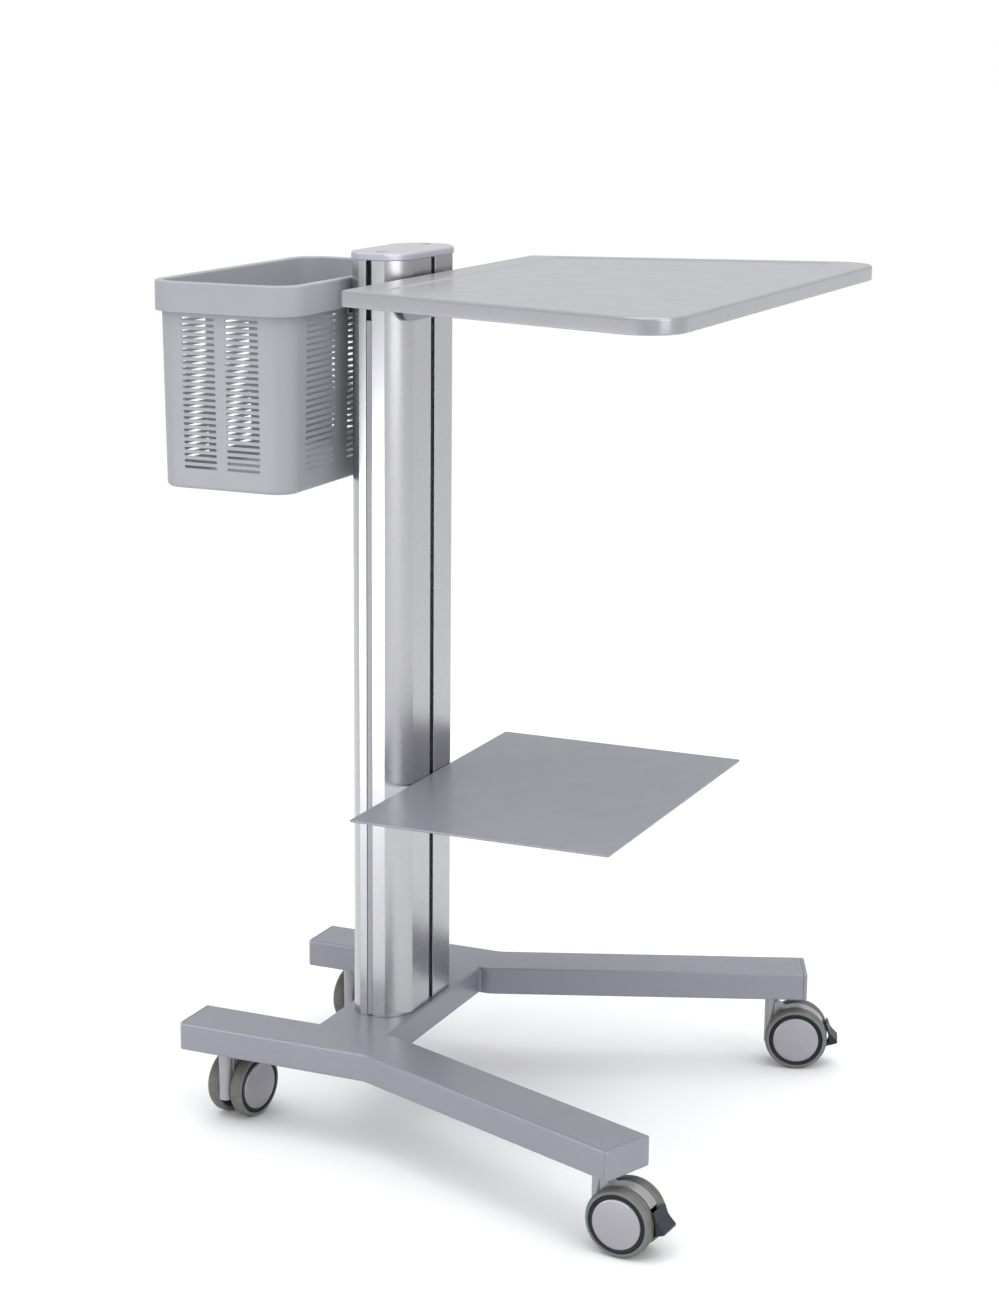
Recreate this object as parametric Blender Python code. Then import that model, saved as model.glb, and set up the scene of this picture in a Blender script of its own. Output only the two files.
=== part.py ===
"""Mobile printer stand: steel base on casters, aluminium column, tray, printer shelf and basket.

The floor is z = 0. The person using the stand is on its -Y side, and -X is to their left.
Plan positions are given from the column's axis, which stands COLUMN_Y behind the origin,
so that the origin is the middle of the floor that the stand covers.
"""

import math

import bmesh
import bpy
from mathutils import Matrix, Vector

# Clearances
GAP = 0.0003                 # between pieces that touch
RUNNING_GAP = 0.0003         # round a pin that something turns on

# Whole stand
COLUMN_Y = 0.1082            # column axis, behind the middle of the stand

# Base tubes
LEG_TOP = 0.123
TUBE_HEIGHT = 0.033
TUBE_WIDTH = 0.064
TUBE_WALL = 0.0022
LEG_BOTTOM = LEG_TOP - TUBE_HEIGHT
LEG_OUTER_X = 0.1895         # outer side of the parallel rear part
LEG_REAR_Y = 0.190
LEG_BEND_Y = -0.040
LEG_SPLAY = math.radians(21.7)
LEG_FRONT_LENGTH = 0.368     # along the outer side, from the bend to the front end
END_CAP_THICKNESS = 0.002
CROSS_FRONT_Y = -0.040
CROSS_REAR_Y = 0.047

# Column extrusion
COLUMN_HALF_X = 0.079
COLUMN_FRONT = -0.034
COLUMN_REAR = 0.039
COLUMN_FLAT_X = 0.050        # half width of the flat front and rear
CORNER_DEPTH = 0.021         # from the front or rear face back to the flat side
CORNER_BULGE = 0.003         # how far the corner panel bows out
COLUMN_TOP = 0.982
CAP_HEIGHT = 0.0078
CAP_OVERHANG = 0.0014
FACE_SLOT_HALF = 0.005       # half the opening of the front and rear slots
SIDE_SLOT_HALF = 0.0033
SLOT_LIP = 0.003
SLOT_POCKET_HALF = 0.009
SLOT_DEPTH = 0.010
SIDE_SLOT_Y = 0.006
COLUMN_WALL = 0.003
FOOT_HEIGHT = 0.012

# Tray
TRAY_TOP = 0.9665
TRAY_THICKNESS = 0.0172
TRAY_SKIN = 0.003
TRAY_REAR_Y = -0.0445
TRAY_FRONT_Y = -0.441
TRAY_REAR_HALF = 0.245
TRAY_FRONT_HALF = 0.360
TRAY_FRONT_RADIUS = 0.042
TRAY_REAR_RADIUS = 0.006
RECESS_DEPTH = 0.0012
RECESS_SIDE = 0.018          # rim left between the recess and each side of the tray
RECESS_FRONT = 0.038
RECESS_REAR = 0.038
RECESS_RADIUS = 0.020

# Tray bracket
TRAY_BRACKET_HALF = 0.096
TRAY_BRACKET_BOTTOM = 0.917
TRAY_BRACKET_TAPER = 0.024   # how much narrower each side is at the bottom
SHELF_BRACKET_HALF = 0.045
BRACKET_REACH = 0.200        # how far the arms run forward under the load
BRACKET_ARM_X = 0.050        # middle of each arm of the tray bracket
BRACKET_PLATE = 0.004
BRACKET_ARM_WIDTH = 0.016
BRACKET_ARM_HEIGHT = 0.018   # at the column
BRACKET_TIP_HEIGHT = 0.008

# Printer shelf
SHELF_TOP = 0.396
SHELF_THICKNESS = 0.0026
SHELF_HALF_X = 0.209
SHELF_REAR_Y = -0.0345
SHELF_FRONT_Y = -0.334
SHELF_BRACKET_HEIGHT = 0.046

# Clamp screws
SCREW_R = 0.003
SCREW_HEAD_R = 0.0055
SCREW_HEAD_HEIGHT = 0.0045
NUT_R = 0.006
NUT_THICKNESS = 0.003
SCREW_OFFSET = 0.008         # above and below the middle of the bracket's plate

# Basket
BASKET_TOP = 0.960
BASKET_BOTTOM = 0.735
BASKET_FRONT_Y = 0.045
BASKET_REAR_Y = 0.2245
BASKET_HALF_X = 0.185
BASKET_RADIUS = 0.036
BASKET_WALL = 0.0026
BASKET_FLOOR = 0.003
RIM_HEIGHT = 0.033
RIM_SKIN = 0.0021            # the rim turns over and hangs outside the wall
RIM_CHANNEL = 0.0026         # space under the rim for the hanger's tongue
BASKET_DRAFT = 0.0056        # how far each side leans in at the bottom

# Basket hanger
HANGER_HALF_X = 0.045
HANGER_BOTTOM = 0.840
HANGER_PLATE = 0.0025
HANGER_TONGUE = 0.0018

# Cable clips on the rear slot: centre height and height of each
CLIPS = {"cable_clip_upper": (0.560, 0.033), "cable_clip_lower": (0.262, 0.020)}
CLIP_HALF_X = 0.008
CLIP_REACH = 0.0125
CLIP_WALL = 0.002

# Casters
WHEEL_R = 0.0375
WHEEL_WIDTH = 0.0165
WHEEL_SPACE = 0.0165         # between the two wheels
CORE_R = 0.0318
HUB_CAP_R = 0.0272
HUB_CAP_PROUD = 0.0024
AXLE_R = 0.004
TRAIL = 0.031                # from the swivel axis to the axle
STEM_R = 0.005
STEM_FLANGE_R = 0.0086
STEM_FLANGE_HEIGHT = 0.0025
STEM_TOP = 0.112
STEM_FOOT = 0.052
BOSS_R = 0.0078
BOSS_BOTTOM = 0.026
HOOD_THICKNESS = 0.0155
HOOD_R = 0.0360
FRONT_STEM = 0.038           # from the leg's front end, along its middle line
REAR_STEM = 0.039            # from the leg's rear end
CASTERS = {                  # side, front or rear, heading in degrees from -Y
    "front_left": (-1, True, -4.0),
    "front_right": (1, True, 17.0),
    "rear_left": (-1, False, 80.0),
    "rear_right": (1, False, 80.0),
}
WHEEL_SEGMENTS = 24
PIN_SEGMENTS = 16

# Brake pedals: side outlines from the axle, forward and up
PEDAL_PIVOT = (0.0235, 0.0040)
PEDAL_ARM = [(0.0190, -0.0035), (0.0240, -0.0115), (0.0330, -0.0145), (0.0370, -0.0130),
             (0.0360, -0.0085), (0.0300, -0.0055), (0.0275, 0.0085), (0.0205, 0.0095)]
PEDAL_LEVER = [(0.0340, -0.0145), (0.0440, -0.0090), (0.0440, 0.0022), (0.0410, 0.0070),
               (0.0376, 0.0165), (0.0353, 0.0165), (0.0389, 0.0050), (0.0396, -0.0030),
               (0.0378, -0.0080), (0.0325, -0.0095)]
PEDAL_STEP = [(0.0405, -0.0085), (0.0500, -0.0052), (0.0500, -0.0025), (0.0437, 0.0040),
              (0.0411, 0.0072), (0.0377, 0.0166), (0.0352, 0.0166), (0.0388, 0.0050),
              (0.0397, -0.0030)]
PEDAL_ARM_WIDTH = 0.0130
PEDAL_STEP_WIDTH = 0.0290
PEDAL_PIN_R = 0.0016
PEDAL_PIN_HALF = 0.0062
TONGUE = [(0.0100, -0.0040), (0.0255, 0.0005), (0.0275, 0.0040), (0.0255, 0.0075), (0.0100, 0.0080)]
TONGUE_HALF = 0.0024         # the hood's tongue that the forked pedal turns on
FORK_HALF = 0.0028
FORK_DEPTH = 0.0295          # from the axle to the end of the fork


# ---------------------------------------------------------------- helpers

def clear_scene():
    for obj in list(bpy.data.objects):
        bpy.data.objects.remove(obj, do_unlink=True)


def make_material(name, colour, roughness, metallic):
    material = bpy.data.materials.new(name)
    material.use_nodes = True
    shader = material.node_tree.nodes["Principled BSDF"]
    shader.inputs["Base Color"].default_value = (*colour, 1.0)
    shader.inputs["Roughness"].default_value = roughness
    shader.inputs["Metallic"].default_value = metallic
    return material


def add_object(name, mesh_builder, material, parent=None, smooth=False):
    """Turn a bmesh into a named object with its faces pointing out."""
    bmesh.ops.recalc_face_normals(mesh_builder, faces=mesh_builder.faces)
    mesh = bpy.data.meshes.new(name)
    mesh_builder.to_mesh(mesh)
    mesh_builder.free()
    if smooth:
        mesh.shade_smooth()
        mesh.set_sharp_from_angle(angle=math.radians(40))
    obj = bpy.data.objects.new(name, mesh)
    bpy.context.scene.collection.objects.link(obj)
    obj.data.materials.append(material)
    obj.parent = parent
    return obj


def add_empty(name, location, turn=0.0, parent=None):
    empty = bpy.data.objects.new(name, None)
    bpy.context.scene.collection.objects.link(empty)
    empty.location = location
    empty.rotation_euler = (0.0, 0.0, turn)
    empty.parent = parent
    return empty


def skin_loops(loops, closed=False):
    """Join equal loops of points in order; ends are filled, or the last loop meets the first."""
    mesh_builder = bmesh.new()
    rings = [[mesh_builder.verts.new(point) for point in loop] for loop in loops]
    pairs = list(zip(rings, rings[1:]))
    if closed:
        pairs.append((rings[-1], rings[0]))
    for lower, upper in pairs:
        for i in range(len(lower)):
            j = (i + 1) % len(lower)
            mesh_builder.faces.new((lower[i], lower[j], upper[j], upper[i]))
    if not closed:
        mesh_builder.faces.new(rings[0])
        mesh_builder.faces.new(rings[-1])
    return mesh_builder


def at_height(outline, z):
    return [Vector((x, y, z)) for x, y in outline]


def prism(outline, bottom, top):
    """Solid with a plan outline between two heights."""
    return skin_loops([at_height(outline, bottom), at_height(outline, top)])


def side_prism(outline, half_width):
    """Solid whose (forward, up) outline is drawn in the -Y, Z plane and runs along X."""
    loops = [[Vector((x, -forward, up)) for forward, up in outline]
             for x in (-half_width, half_width)]
    return skin_loops(loops)


def box(low, high):
    corners = [(low[0], low[1]), (high[0], low[1]), (high[0], high[1]), (low[0], high[1])]
    return prism(corners, low[2], high[2])


def circle(radius, segments, centre=(0.0, 0.0)):
    """Polygon whose flats lie on the circle, with a flat at the bottom."""
    corner_r = radius / math.cos(math.pi / segments)
    angles = [2 * math.pi * (i + 0.5) / segments for i in range(segments)]
    return [(centre[0] + corner_r * math.sin(a), centre[1] - corner_r * math.cos(a))
            for a in angles]


def turned(profile, segments, along_x=False, closed=False):
    """Turn (radius, position) points about Z, or about X where along_x is set."""
    loops = []
    for radius, position in profile:
        ring = circle(radius, segments)
        if along_x:
            loops.append([Vector((position, a, b)) for a, b in ring])
        else:
            loops.append([Vector((a, b, position)) for a, b in ring])
    return skin_loops(loops, closed=closed)


def rounded(corners, radii, steps=5):
    """Plan outline with an arc of the given radius at each corner."""
    outline = []
    for i, corner in enumerate(corners):
        here = Vector(corner)
        before = (Vector(corners[i - 1]) - here).normalized()
        after = (Vector(corners[(i + 1) % len(corners)]) - here).normalized()
        half_angle = before.angle(after) / 2
        centre = here + (before + after).normalized() * radii[i] / math.sin(half_angle)
        start = here + before * radii[i] / math.tan(half_angle) - centre
        end = here + after * radii[i] / math.tan(half_angle) - centre
        for k in range(steps + 1):
            direction = start.slerp(end, k / steps)
            outline.append(tuple(centre + direction * radii[i]))
    return outline


def bowed(start, end, bulge, steps=5):
    """Points from start to end on a shallow arc that bulges to the right of the way it runs."""
    along = Vector(end) - Vector(start)
    outward = Vector((along.y, -along.x)).normalized()
    points = []
    for k in range(steps + 1):
        t = k / steps
        points.append(tuple(Vector(start) + along * t + outward * 4 * bulge * t * (1 - t)))
    return points


def shifted(outline, dy):
    return [(x, y + dy) for x, y in outline]


def cut(obj, cutter):
    """Subtract a cutter, which stays hidden beside the object."""
    modifier = obj.modifiers.new("cut", "BOOLEAN")
    modifier.operation = "DIFFERENCE"
    modifier.object = cutter
    hide_cutter(cutter)


def join(obj, other):
    """Unite two overlapping solids into one."""
    modifier = obj.modifiers.new("join", "BOOLEAN")
    modifier.operation = "UNION"
    modifier.object = other
    hide_cutter(other)


def hide_cutter(cutter):
    cutter.hide_render = True
    cutter.display_type = "WIRE"


# ---------------------------------------------------------------- base

def leg_stations(side):
    """Middle line of a leg in plan, with the sideways offset of its edges at each station."""
    splay = Vector((side * math.sin(LEG_SPLAY), -math.cos(LEG_SPLAY)))
    splay_out = Vector((side * math.cos(LEG_SPLAY), math.sin(LEG_SPLAY)))
    square_out = Vector((side, 0.0))
    miter_out = (splay_out + square_out).normalized() / math.cos(LEG_SPLAY / 2)
    bend_outer = Vector((side * LEG_OUTER_X, COLUMN_Y + LEG_BEND_Y))
    rear_outer = Vector((side * LEG_OUTER_X, COLUMN_Y + LEG_REAR_Y))
    front_outer = bend_outer + splay * LEG_FRONT_LENGTH
    half = TUBE_WIDTH / 2
    return [(rear_outer - square_out * half, square_out, Vector((0.0, 1.0))),
            (bend_outer - miter_out * half, miter_out, None),
            (front_outer - splay_out * half, splay_out, splay)]


def tube_loop(middle, out, half_width, bottom, top):
    inner = middle - out * half_width
    outer = middle + out * half_width
    return [Vector((inner.x, inner.y, bottom)), Vector((outer.x, outer.y, bottom)),
            Vector((outer.x, outer.y, top)), Vector((inner.x, inner.y, top))]


def stem_place(side, front):
    """Plan position of a caster's stem, on the leg's middle line."""
    stations = leg_stations(side)
    if front:
        middle, _, outward = stations[2]
        return middle - outward * FRONT_STEM
    middle, _, outward = stations[0]
    return middle - outward * REAR_STEM


def build_leg(name, side, material):
    stations = leg_stations(side)
    half = TUBE_WIDTH / 2
    outer = [tube_loop(m, out, half, LEG_BOTTOM, LEG_TOP) for m, out, _ in stations]
    inner = [tube_loop(m, out, half - TUBE_WALL, LEG_BOTTOM + TUBE_WALL, LEG_TOP - TUBE_WALL)
             for m, out, _ in stations]
    leg = add_object(name, skin_loops(outer + inner[::-1], closed=True), material)
    for front in (True, False):
        place = stem_place(side, front)
        hole = prism(circle(STEM_R + RUNNING_GAP, PIN_SEGMENTS, place), LEG_BOTTOM - 0.01,
                     LEG_BOTTOM + 0.01)
        cut(leg, add_object(f"{name}_stem_hole_{'front' if front else 'rear'}", hole, material))
    return leg


def build_end_cap(name, station, material):
    """Plate that closes a tube's end."""
    middle, out, outward = station
    loops = []
    for distance in (GAP, GAP + END_CAP_THICKNESS):
        loops.append(tube_loop(middle + outward * distance, out, TUBE_WIDTH / 2, LEG_BOTTOM, LEG_TOP))
    return add_object(name, skin_loops(loops), material)


def build_cross_member(material):
    half = LEG_OUTER_X - TUBE_WIDTH - GAP
    front = COLUMN_Y + CROSS_FRONT_Y
    rear = COLUMN_Y + CROSS_REAR_Y
    loops = []
    for x, wall in ((-half, 0.0), (half, 0.0), (half, TUBE_WALL), (-half, TUBE_WALL)):
        loops.append([Vector((x, front + wall, LEG_BOTTOM + wall)),
                      Vector((x, rear - wall, LEG_BOTTOM + wall)),
                      Vector((x, rear - wall, LEG_TOP - wall)),
                      Vector((x, front + wall, LEG_TOP - wall))])
    return add_object("cross_member", skin_loops(loops, closed=True), material)


def build_base(paint):
    build_cross_member(paint)
    for name, side in (("left", -1), ("right", 1)):
        build_leg(f"leg_{name}", side, paint)
        stations = leg_stations(side)
        build_end_cap(f"leg_{name}_rear_cap", stations[0], paint)
        build_end_cap(f"leg_{name}_front_cap", stations[2], paint)


# ---------------------------------------------------------------- column

def column_outline(margin=0.0):
    """Plan outline of the column without its slots: flats joined by gently bowed corner panels."""
    half_x = COLUMN_HALF_X + margin
    front = COLUMN_FRONT - margin
    rear = COLUMN_REAR + margin
    panels = [((COLUMN_FLAT_X, front), (half_x, front + CORNER_DEPTH)),
              ((half_x, rear - CORNER_DEPTH), (COLUMN_FLAT_X, rear)),
              ((-COLUMN_FLAT_X, rear), (-half_x, rear - CORNER_DEPTH)),
              ((-half_x, front + CORNER_DEPTH), (-COLUMN_FLAT_X, front))]
    outline = []
    for start, end in panels:
        outline += bowed(start, end, CORNER_BULGE)
    return outline


def slot_outline(half):
    """T-slot cut inwards from a face at y = 0, open towards -Y."""
    outside = -0.002
    return [(-half, outside), (half, outside), (half, SLOT_LIP),
            (SLOT_POCKET_HALF, SLOT_LIP), (SLOT_POCKET_HALF, SLOT_DEPTH),
            (-SLOT_POCKET_HALF, SLOT_DEPTH), (-SLOT_POCKET_HALF, SLOT_LIP), (-half, SLOT_LIP)]


def slot_places():
    """Where each slot's face is, the way that it opens and half its opening."""
    return {"front": ((0.0, COLUMN_FRONT), 0.0, FACE_SLOT_HALF),
            "rear": ((0.0, COLUMN_REAR), math.pi, FACE_SLOT_HALF),
            "left": ((-COLUMN_HALF_X, SIDE_SLOT_Y), -math.pi / 2, SIDE_SLOT_HALF),
            "right": ((COLUMN_HALF_X, SIDE_SLOT_Y), math.pi / 2, SIDE_SLOT_HALF)}


def column_void():
    """Hollow middle of the extrusion, stepped in behind the front and rear slots."""
    slot_wall = SLOT_DEPTH + COLUMN_WALL
    web_x = SLOT_POCKET_HALF + COLUMN_WALL
    end_x = COLUMN_HALF_X - slot_wall
    corner_x = COLUMN_FLAT_X - 0.001
    halves = []
    for face, inward in ((COLUMN_REAR, -1), (COLUMN_FRONT, 1)):
        quarter = [(end_x, face + inward * (CORNER_DEPTH - 0.004)), (corner_x, face + inward * COLUMN_WALL),
                   (web_x, face + inward * COLUMN_WALL), (web_x, face + inward * slot_wall)]
        halves.append(quarter + [(-x, y) for x, y in reversed(quarter)])
    return halves[0] + halves[1][::-1]


def build_column(aluminium):
    bottom = LEG_TOP + GAP
    column = add_object("column", prism(shifted(column_outline(), COLUMN_Y), bottom, COLUMN_TOP),
                        aluminium, smooth=True)
    beyond = 0.01
    void = prism(shifted(column_void(), COLUMN_Y), bottom - beyond, COLUMN_TOP + beyond)
    cut(column, add_object("column_void", void, aluminium))
    for name, ((x, y), turn, half) in slot_places().items():
        slot = prism(slot_outline(half), bottom - beyond, COLUMN_TOP + beyond)
        slot.transform(Matrix.Translation((x, COLUMN_Y + y, 0.0)) @ Matrix.Rotation(turn, 4, "Z"))
        cut(column, add_object(f"column_slot_{name}", slot, aluminium))


def build_column_ends(plastic, steel):
    foot_half_x = COLUMN_FLAT_X - 0.006
    inset = SLOT_DEPTH + COLUMN_WALL + 0.002
    foot = box((-foot_half_x, COLUMN_Y + COLUMN_FRONT + inset, LEG_TOP + GAP),
               (foot_half_x, COLUMN_Y + COLUMN_REAR - inset, LEG_TOP + FOOT_HEIGHT))
    add_object("column_foot", foot, steel)
    lower = COLUMN_TOP + GAP
    edge = 0.0012
    wide = shifted(column_outline(CAP_OVERHANG), COLUMN_Y)
    narrow = shifted(column_outline(CAP_OVERHANG - edge), COLUMN_Y)
    cap = skin_loops([at_height(wide, lower), at_height(wide, lower + CAP_HEIGHT - edge),
                      at_height(narrow, lower + CAP_HEIGHT)])
    add_object("column_cap", cap, plastic, smooth=True)


# ---------------------------------------------------------------- tray and shelf

def tray_outline(side=0.0, front=0.0, rear=0.0, front_radius=TRAY_FRONT_RADIUS,
                 rear_radius=TRAY_REAR_RADIUS):
    """Plan outline of the tray, moved in by the given distances."""
    slope = (TRAY_FRONT_HALF - TRAY_REAR_HALF) / (TRAY_REAR_Y - TRAY_FRONT_Y)
    side_inset = side * math.hypot(1.0, slope)
    rear_y = TRAY_REAR_Y - rear
    front_y = TRAY_FRONT_Y + front
    rear_x = TRAY_REAR_HALF + slope * rear - side_inset
    front_x = TRAY_FRONT_HALF - slope * front - side_inset
    corners = [(-front_x, front_y), (front_x, front_y), (rear_x, rear_y), (-rear_x, rear_y)]
    return shifted(rounded(corners, [front_radius, front_radius, rear_radius, rear_radius]), COLUMN_Y)


def build_tray(plastic):
    """Moulded top: skin with a down-turned skirt and a shallow recess, open underneath."""
    bottom = TRAY_TOP - TRAY_THICKNESS
    floor = TRAY_TOP - RECESS_DEPTH
    outside = tray_outline()
    inside = tray_outline(TRAY_SKIN, TRAY_SKIN, TRAY_SKIN, TRAY_FRONT_RADIUS - TRAY_SKIN,
                          TRAY_REAR_RADIUS - TRAY_SKIN)
    recess = tray_outline(RECESS_SIDE, RECESS_FRONT, RECESS_REAR, RECESS_RADIUS, RECESS_RADIUS)
    recess_floor = tray_outline(RECESS_SIDE + RECESS_DEPTH, RECESS_FRONT + RECESS_DEPTH,
                                RECESS_REAR + RECESS_DEPTH, RECESS_RADIUS, RECESS_RADIUS)
    loops = [at_height(inside, floor - TRAY_SKIN), at_height(inside, bottom),
             at_height(outside, bottom), at_height(outside, TRAY_TOP),
             at_height(recess, TRAY_TOP), at_height(recess_floor, floor)]
    add_object("tray", skin_loops(loops), plastic)


def bracket_arm(x_middle, top):
    """Arm on edge that gets shallower towards the front."""
    rear = -(COLUMN_Y + COLUMN_FRONT - GAP)
    tip = rear + BRACKET_REACH
    outline = [(rear, top - BRACKET_ARM_HEIGHT), (tip, top - BRACKET_TIP_HEIGHT), (tip, top), (rear, top)]
    arm = side_prism(outline, BRACKET_ARM_WIDTH / 2)
    arm.transform(Matrix.Translation((x_middle, 0.0, 0.0)))
    return arm


def build_bracket(name, half_x, taper, arm_x, top, low, material):
    """Plate against the column's front with two arms under the load."""
    rear = COLUMN_Y + COLUMN_FRONT - GAP
    corners = [(-half_x + taper, low), (half_x - taper, low), (half_x, top), (-half_x, top)]
    plate = skin_loops([[Vector((x, y, z)) for x, z in corners] for y in (rear - BRACKET_PLATE, rear)])
    bracket = add_object(name, plate, material)
    for side_name, side in (("left", -1), ("right", 1)):
        arm = bracket_arm(side * arm_x, top)
        join(bracket, add_object(f"{name}_arm_{side_name}", arm, material))
    return bracket


def screw_places(top, low):
    """Heights of the upper and lower clamp screw of a bracket."""
    middle = (top + low) / 2
    return {"upper": middle + SCREW_OFFSET, "lower": middle - SCREW_OFFSET}


def build_clamp_screws(prefix, bracket, top, low, steel):
    """Screw through the bracket's plate with its nut in the column's front slot."""
    face = COLUMN_Y + COLUMN_FRONT - GAP
    plate_front = face - BRACKET_PLATE
    pocket = COLUMN_Y + COLUMN_FRONT + SLOT_LIP + GAP
    for position, height in screw_places(top, low).items():
        profile = [(SCREW_HEAD_R, plate_front - GAP - SCREW_HEAD_HEIGHT), (SCREW_HEAD_R, plate_front - GAP),
                   (SCREW_R, plate_front - GAP), (SCREW_R, pocket), (NUT_R, pocket),
                   (NUT_R, pocket + NUT_THICKNESS)]
        screw = turned(profile, PIN_SEGMENTS)
        to_place = Matrix.Translation((0.0, 0.0, height)) @ Matrix.Rotation(-math.pi / 2, 4, "X")
        screw.transform(to_place)
        add_object(f"{prefix}_screw_{position}", screw, steel, smooth=True)
        hole = prism(circle(SCREW_R + RUNNING_GAP, PIN_SEGMENTS), plate_front - 0.005, face + 0.005)
        hole.transform(to_place)
        cut(bracket, add_object(f"{prefix}_screw_hole_{position}", hole, steel))


def build_tray_group(plastic, paint, steel):
    build_tray(plastic)
    top = TRAY_TOP - TRAY_THICKNESS - GAP
    bracket = build_bracket("tray_bracket", TRAY_BRACKET_HALF, TRAY_BRACKET_TAPER, BRACKET_ARM_X,
                            top, TRAY_BRACKET_BOTTOM, paint)
    build_clamp_screws("tray", bracket, top, TRAY_BRACKET_BOTTOM, steel)


def build_shelf_group(paint, steel):
    bottom = SHELF_TOP - SHELF_THICKNESS
    shelf = box((-SHELF_HALF_X, COLUMN_Y + SHELF_FRONT_Y, bottom),
                (SHELF_HALF_X, COLUMN_Y + SHELF_REAR_Y, SHELF_TOP))
    add_object("printer_shelf", shelf, paint)
    top = bottom - GAP
    low = top - SHELF_BRACKET_HEIGHT
    arm_x = SHELF_BRACKET_HALF - BRACKET_ARM_WIDTH / 2
    bracket = build_bracket("shelf_bracket", SHELF_BRACKET_HALF, 0.0, arm_x, top, low, paint)
    build_clamp_screws("shelf", bracket, top, low, steel)


# ---------------------------------------------------------------- basket

def basket_loop(height, inset):
    """Rounded plan outline at a height, moved in from the rim's outer face."""
    x = BASKET_HALF_X - inset
    front = COLUMN_Y + BASKET_FRONT_Y + inset
    rear = COLUMN_Y + BASKET_REAR_Y - inset
    corners = [(-x, front), (x, front), (x, rear), (-x, rear)]
    return at_height(rounded(corners, [BASKET_RADIUS - inset] * 4, steps=4), height)


def wall_inset(height):
    """How far the wall's outer face stands inside the rim's: the sides lean in downwards."""
    lean = BASKET_DRAFT * (BASKET_TOP - height) / (BASKET_TOP - BASKET_BOTTOM)
    return RIM_SKIN + RIM_CHANNEL + lean


def build_basket(plastic):
    """Open bin whose rim turns over outwards and leaves a channel that opens downwards."""
    floor = BASKET_BOTTOM + BASKET_FLOOR
    rim_bottom = BASKET_TOP - RIM_HEIGHT
    channel_top = BASKET_TOP - BASKET_WALL
    loops = [basket_loop(BASKET_BOTTOM, wall_inset(BASKET_BOTTOM)),
             basket_loop(channel_top, wall_inset(channel_top)),
             basket_loop(channel_top, RIM_SKIN), basket_loop(rim_bottom, RIM_SKIN),
             basket_loop(rim_bottom, 0.0), basket_loop(BASKET_TOP, 0.0),
             basket_loop(BASKET_TOP, wall_inset(BASKET_TOP) + BASKET_WALL),
             basket_loop(floor, wall_inset(floor) + BASKET_WALL)]
    add_object("basket", skin_loops(loops), plastic, smooth=True)


def build_hanger(paint):
    """Plate on the column's rear face with a tongue that stands up into the basket's rim."""
    back = -(COLUMN_Y + COLUMN_REAR + GAP)
    front = back - HANGER_PLATE
    tongue_near = -(COLUMN_Y + BASKET_FRONT_Y + RIM_SKIN + GAP)
    tongue_far = tongue_near - HANGER_TONGUE
    step = BASKET_TOP - RIM_HEIGHT - 0.006
    top = BASKET_TOP - BASKET_WALL - GAP
    outline = [(back, HANGER_BOTTOM), (back, BASKET_TOP), (front, BASKET_TOP), (front, step),
               (tongue_near, step), (tongue_near, top), (tongue_far, top),
               (tongue_far, step - HANGER_PLATE), (front, step - HANGER_PLATE), (front, HANGER_BOTTOM)]
    add_object("basket_hanger", side_prism(outline, HANGER_HALF_X), paint)


def build_clips(plastic):
    """C-shaped clips on the rear face, open to the side for the cable."""
    near = COLUMN_REAR + GAP
    far = near + CLIP_REACH
    mouth = CLIP_HALF_X - 0.0035
    outline = [(CLIP_HALF_X, near), (CLIP_HALF_X, near + CLIP_WALL), (-CLIP_HALF_X + CLIP_WALL, near + CLIP_WALL),
               (-CLIP_HALF_X + CLIP_WALL, far - CLIP_WALL), (mouth, far - CLIP_WALL),
               (mouth, far), (-CLIP_HALF_X, far), (-CLIP_HALF_X, near)]
    for name, (middle, height) in CLIPS.items():
        clip = prism(shifted(outline, COLUMN_Y), middle - height / 2, middle + height / 2)
        add_object(name, clip, plastic)


# ---------------------------------------------------------------- casters

def hood_outline():
    """Side outline of the web between the wheels, from the swivel axis forward and up."""
    outline = [(0.004, WHEEL_R - 0.012), (0.004, 0.080)]
    for k in range(7):
        angle = math.radians(112 - 14 * k)
        outline.append((TRAIL + HOOD_R * math.cos(angle), WHEEL_R + HOOD_R * math.sin(angle)))
    outline += [(TRAIL + 0.0150, WHEEL_R + 0.0135), (TRAIL + 0.0125, WHEEL_R - 0.008),
                (TRAIL, WHEEL_R - 0.0145)]
    return outline


def build_stem(name, swivel, steel):
    """Stem screwed up into the leg, with a flange below it and a pin that the hood turns on."""
    flange_top = LEG_BOTTOM - GAP
    flange_bottom = flange_top - STEM_FLANGE_HEIGHT
    profile = [(STEM_R, STEM_FOOT), (STEM_R, flange_bottom), (STEM_FLANGE_R, flange_bottom),
               (STEM_FLANGE_R, flange_top), (STEM_R, flange_top), (STEM_R, STEM_TOP)]
    add_object(f"{name}_caster_stem", turned(profile, PIN_SEGMENTS), steel, swivel, smooth=True)


def add_pin_hole(obj, name, radius, place, swivel, material):
    """Cut a hole along X at a (forward, up) place in the plane of the hood."""
    hole = turned([(radius, -0.02), (radius, 0.02)], PIN_SEGMENTS, along_x=True)
    hole.transform(Matrix.Translation((0.0, -place[0], place[1])))
    cut(obj, add_object(name, hole, material, swivel))


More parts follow.
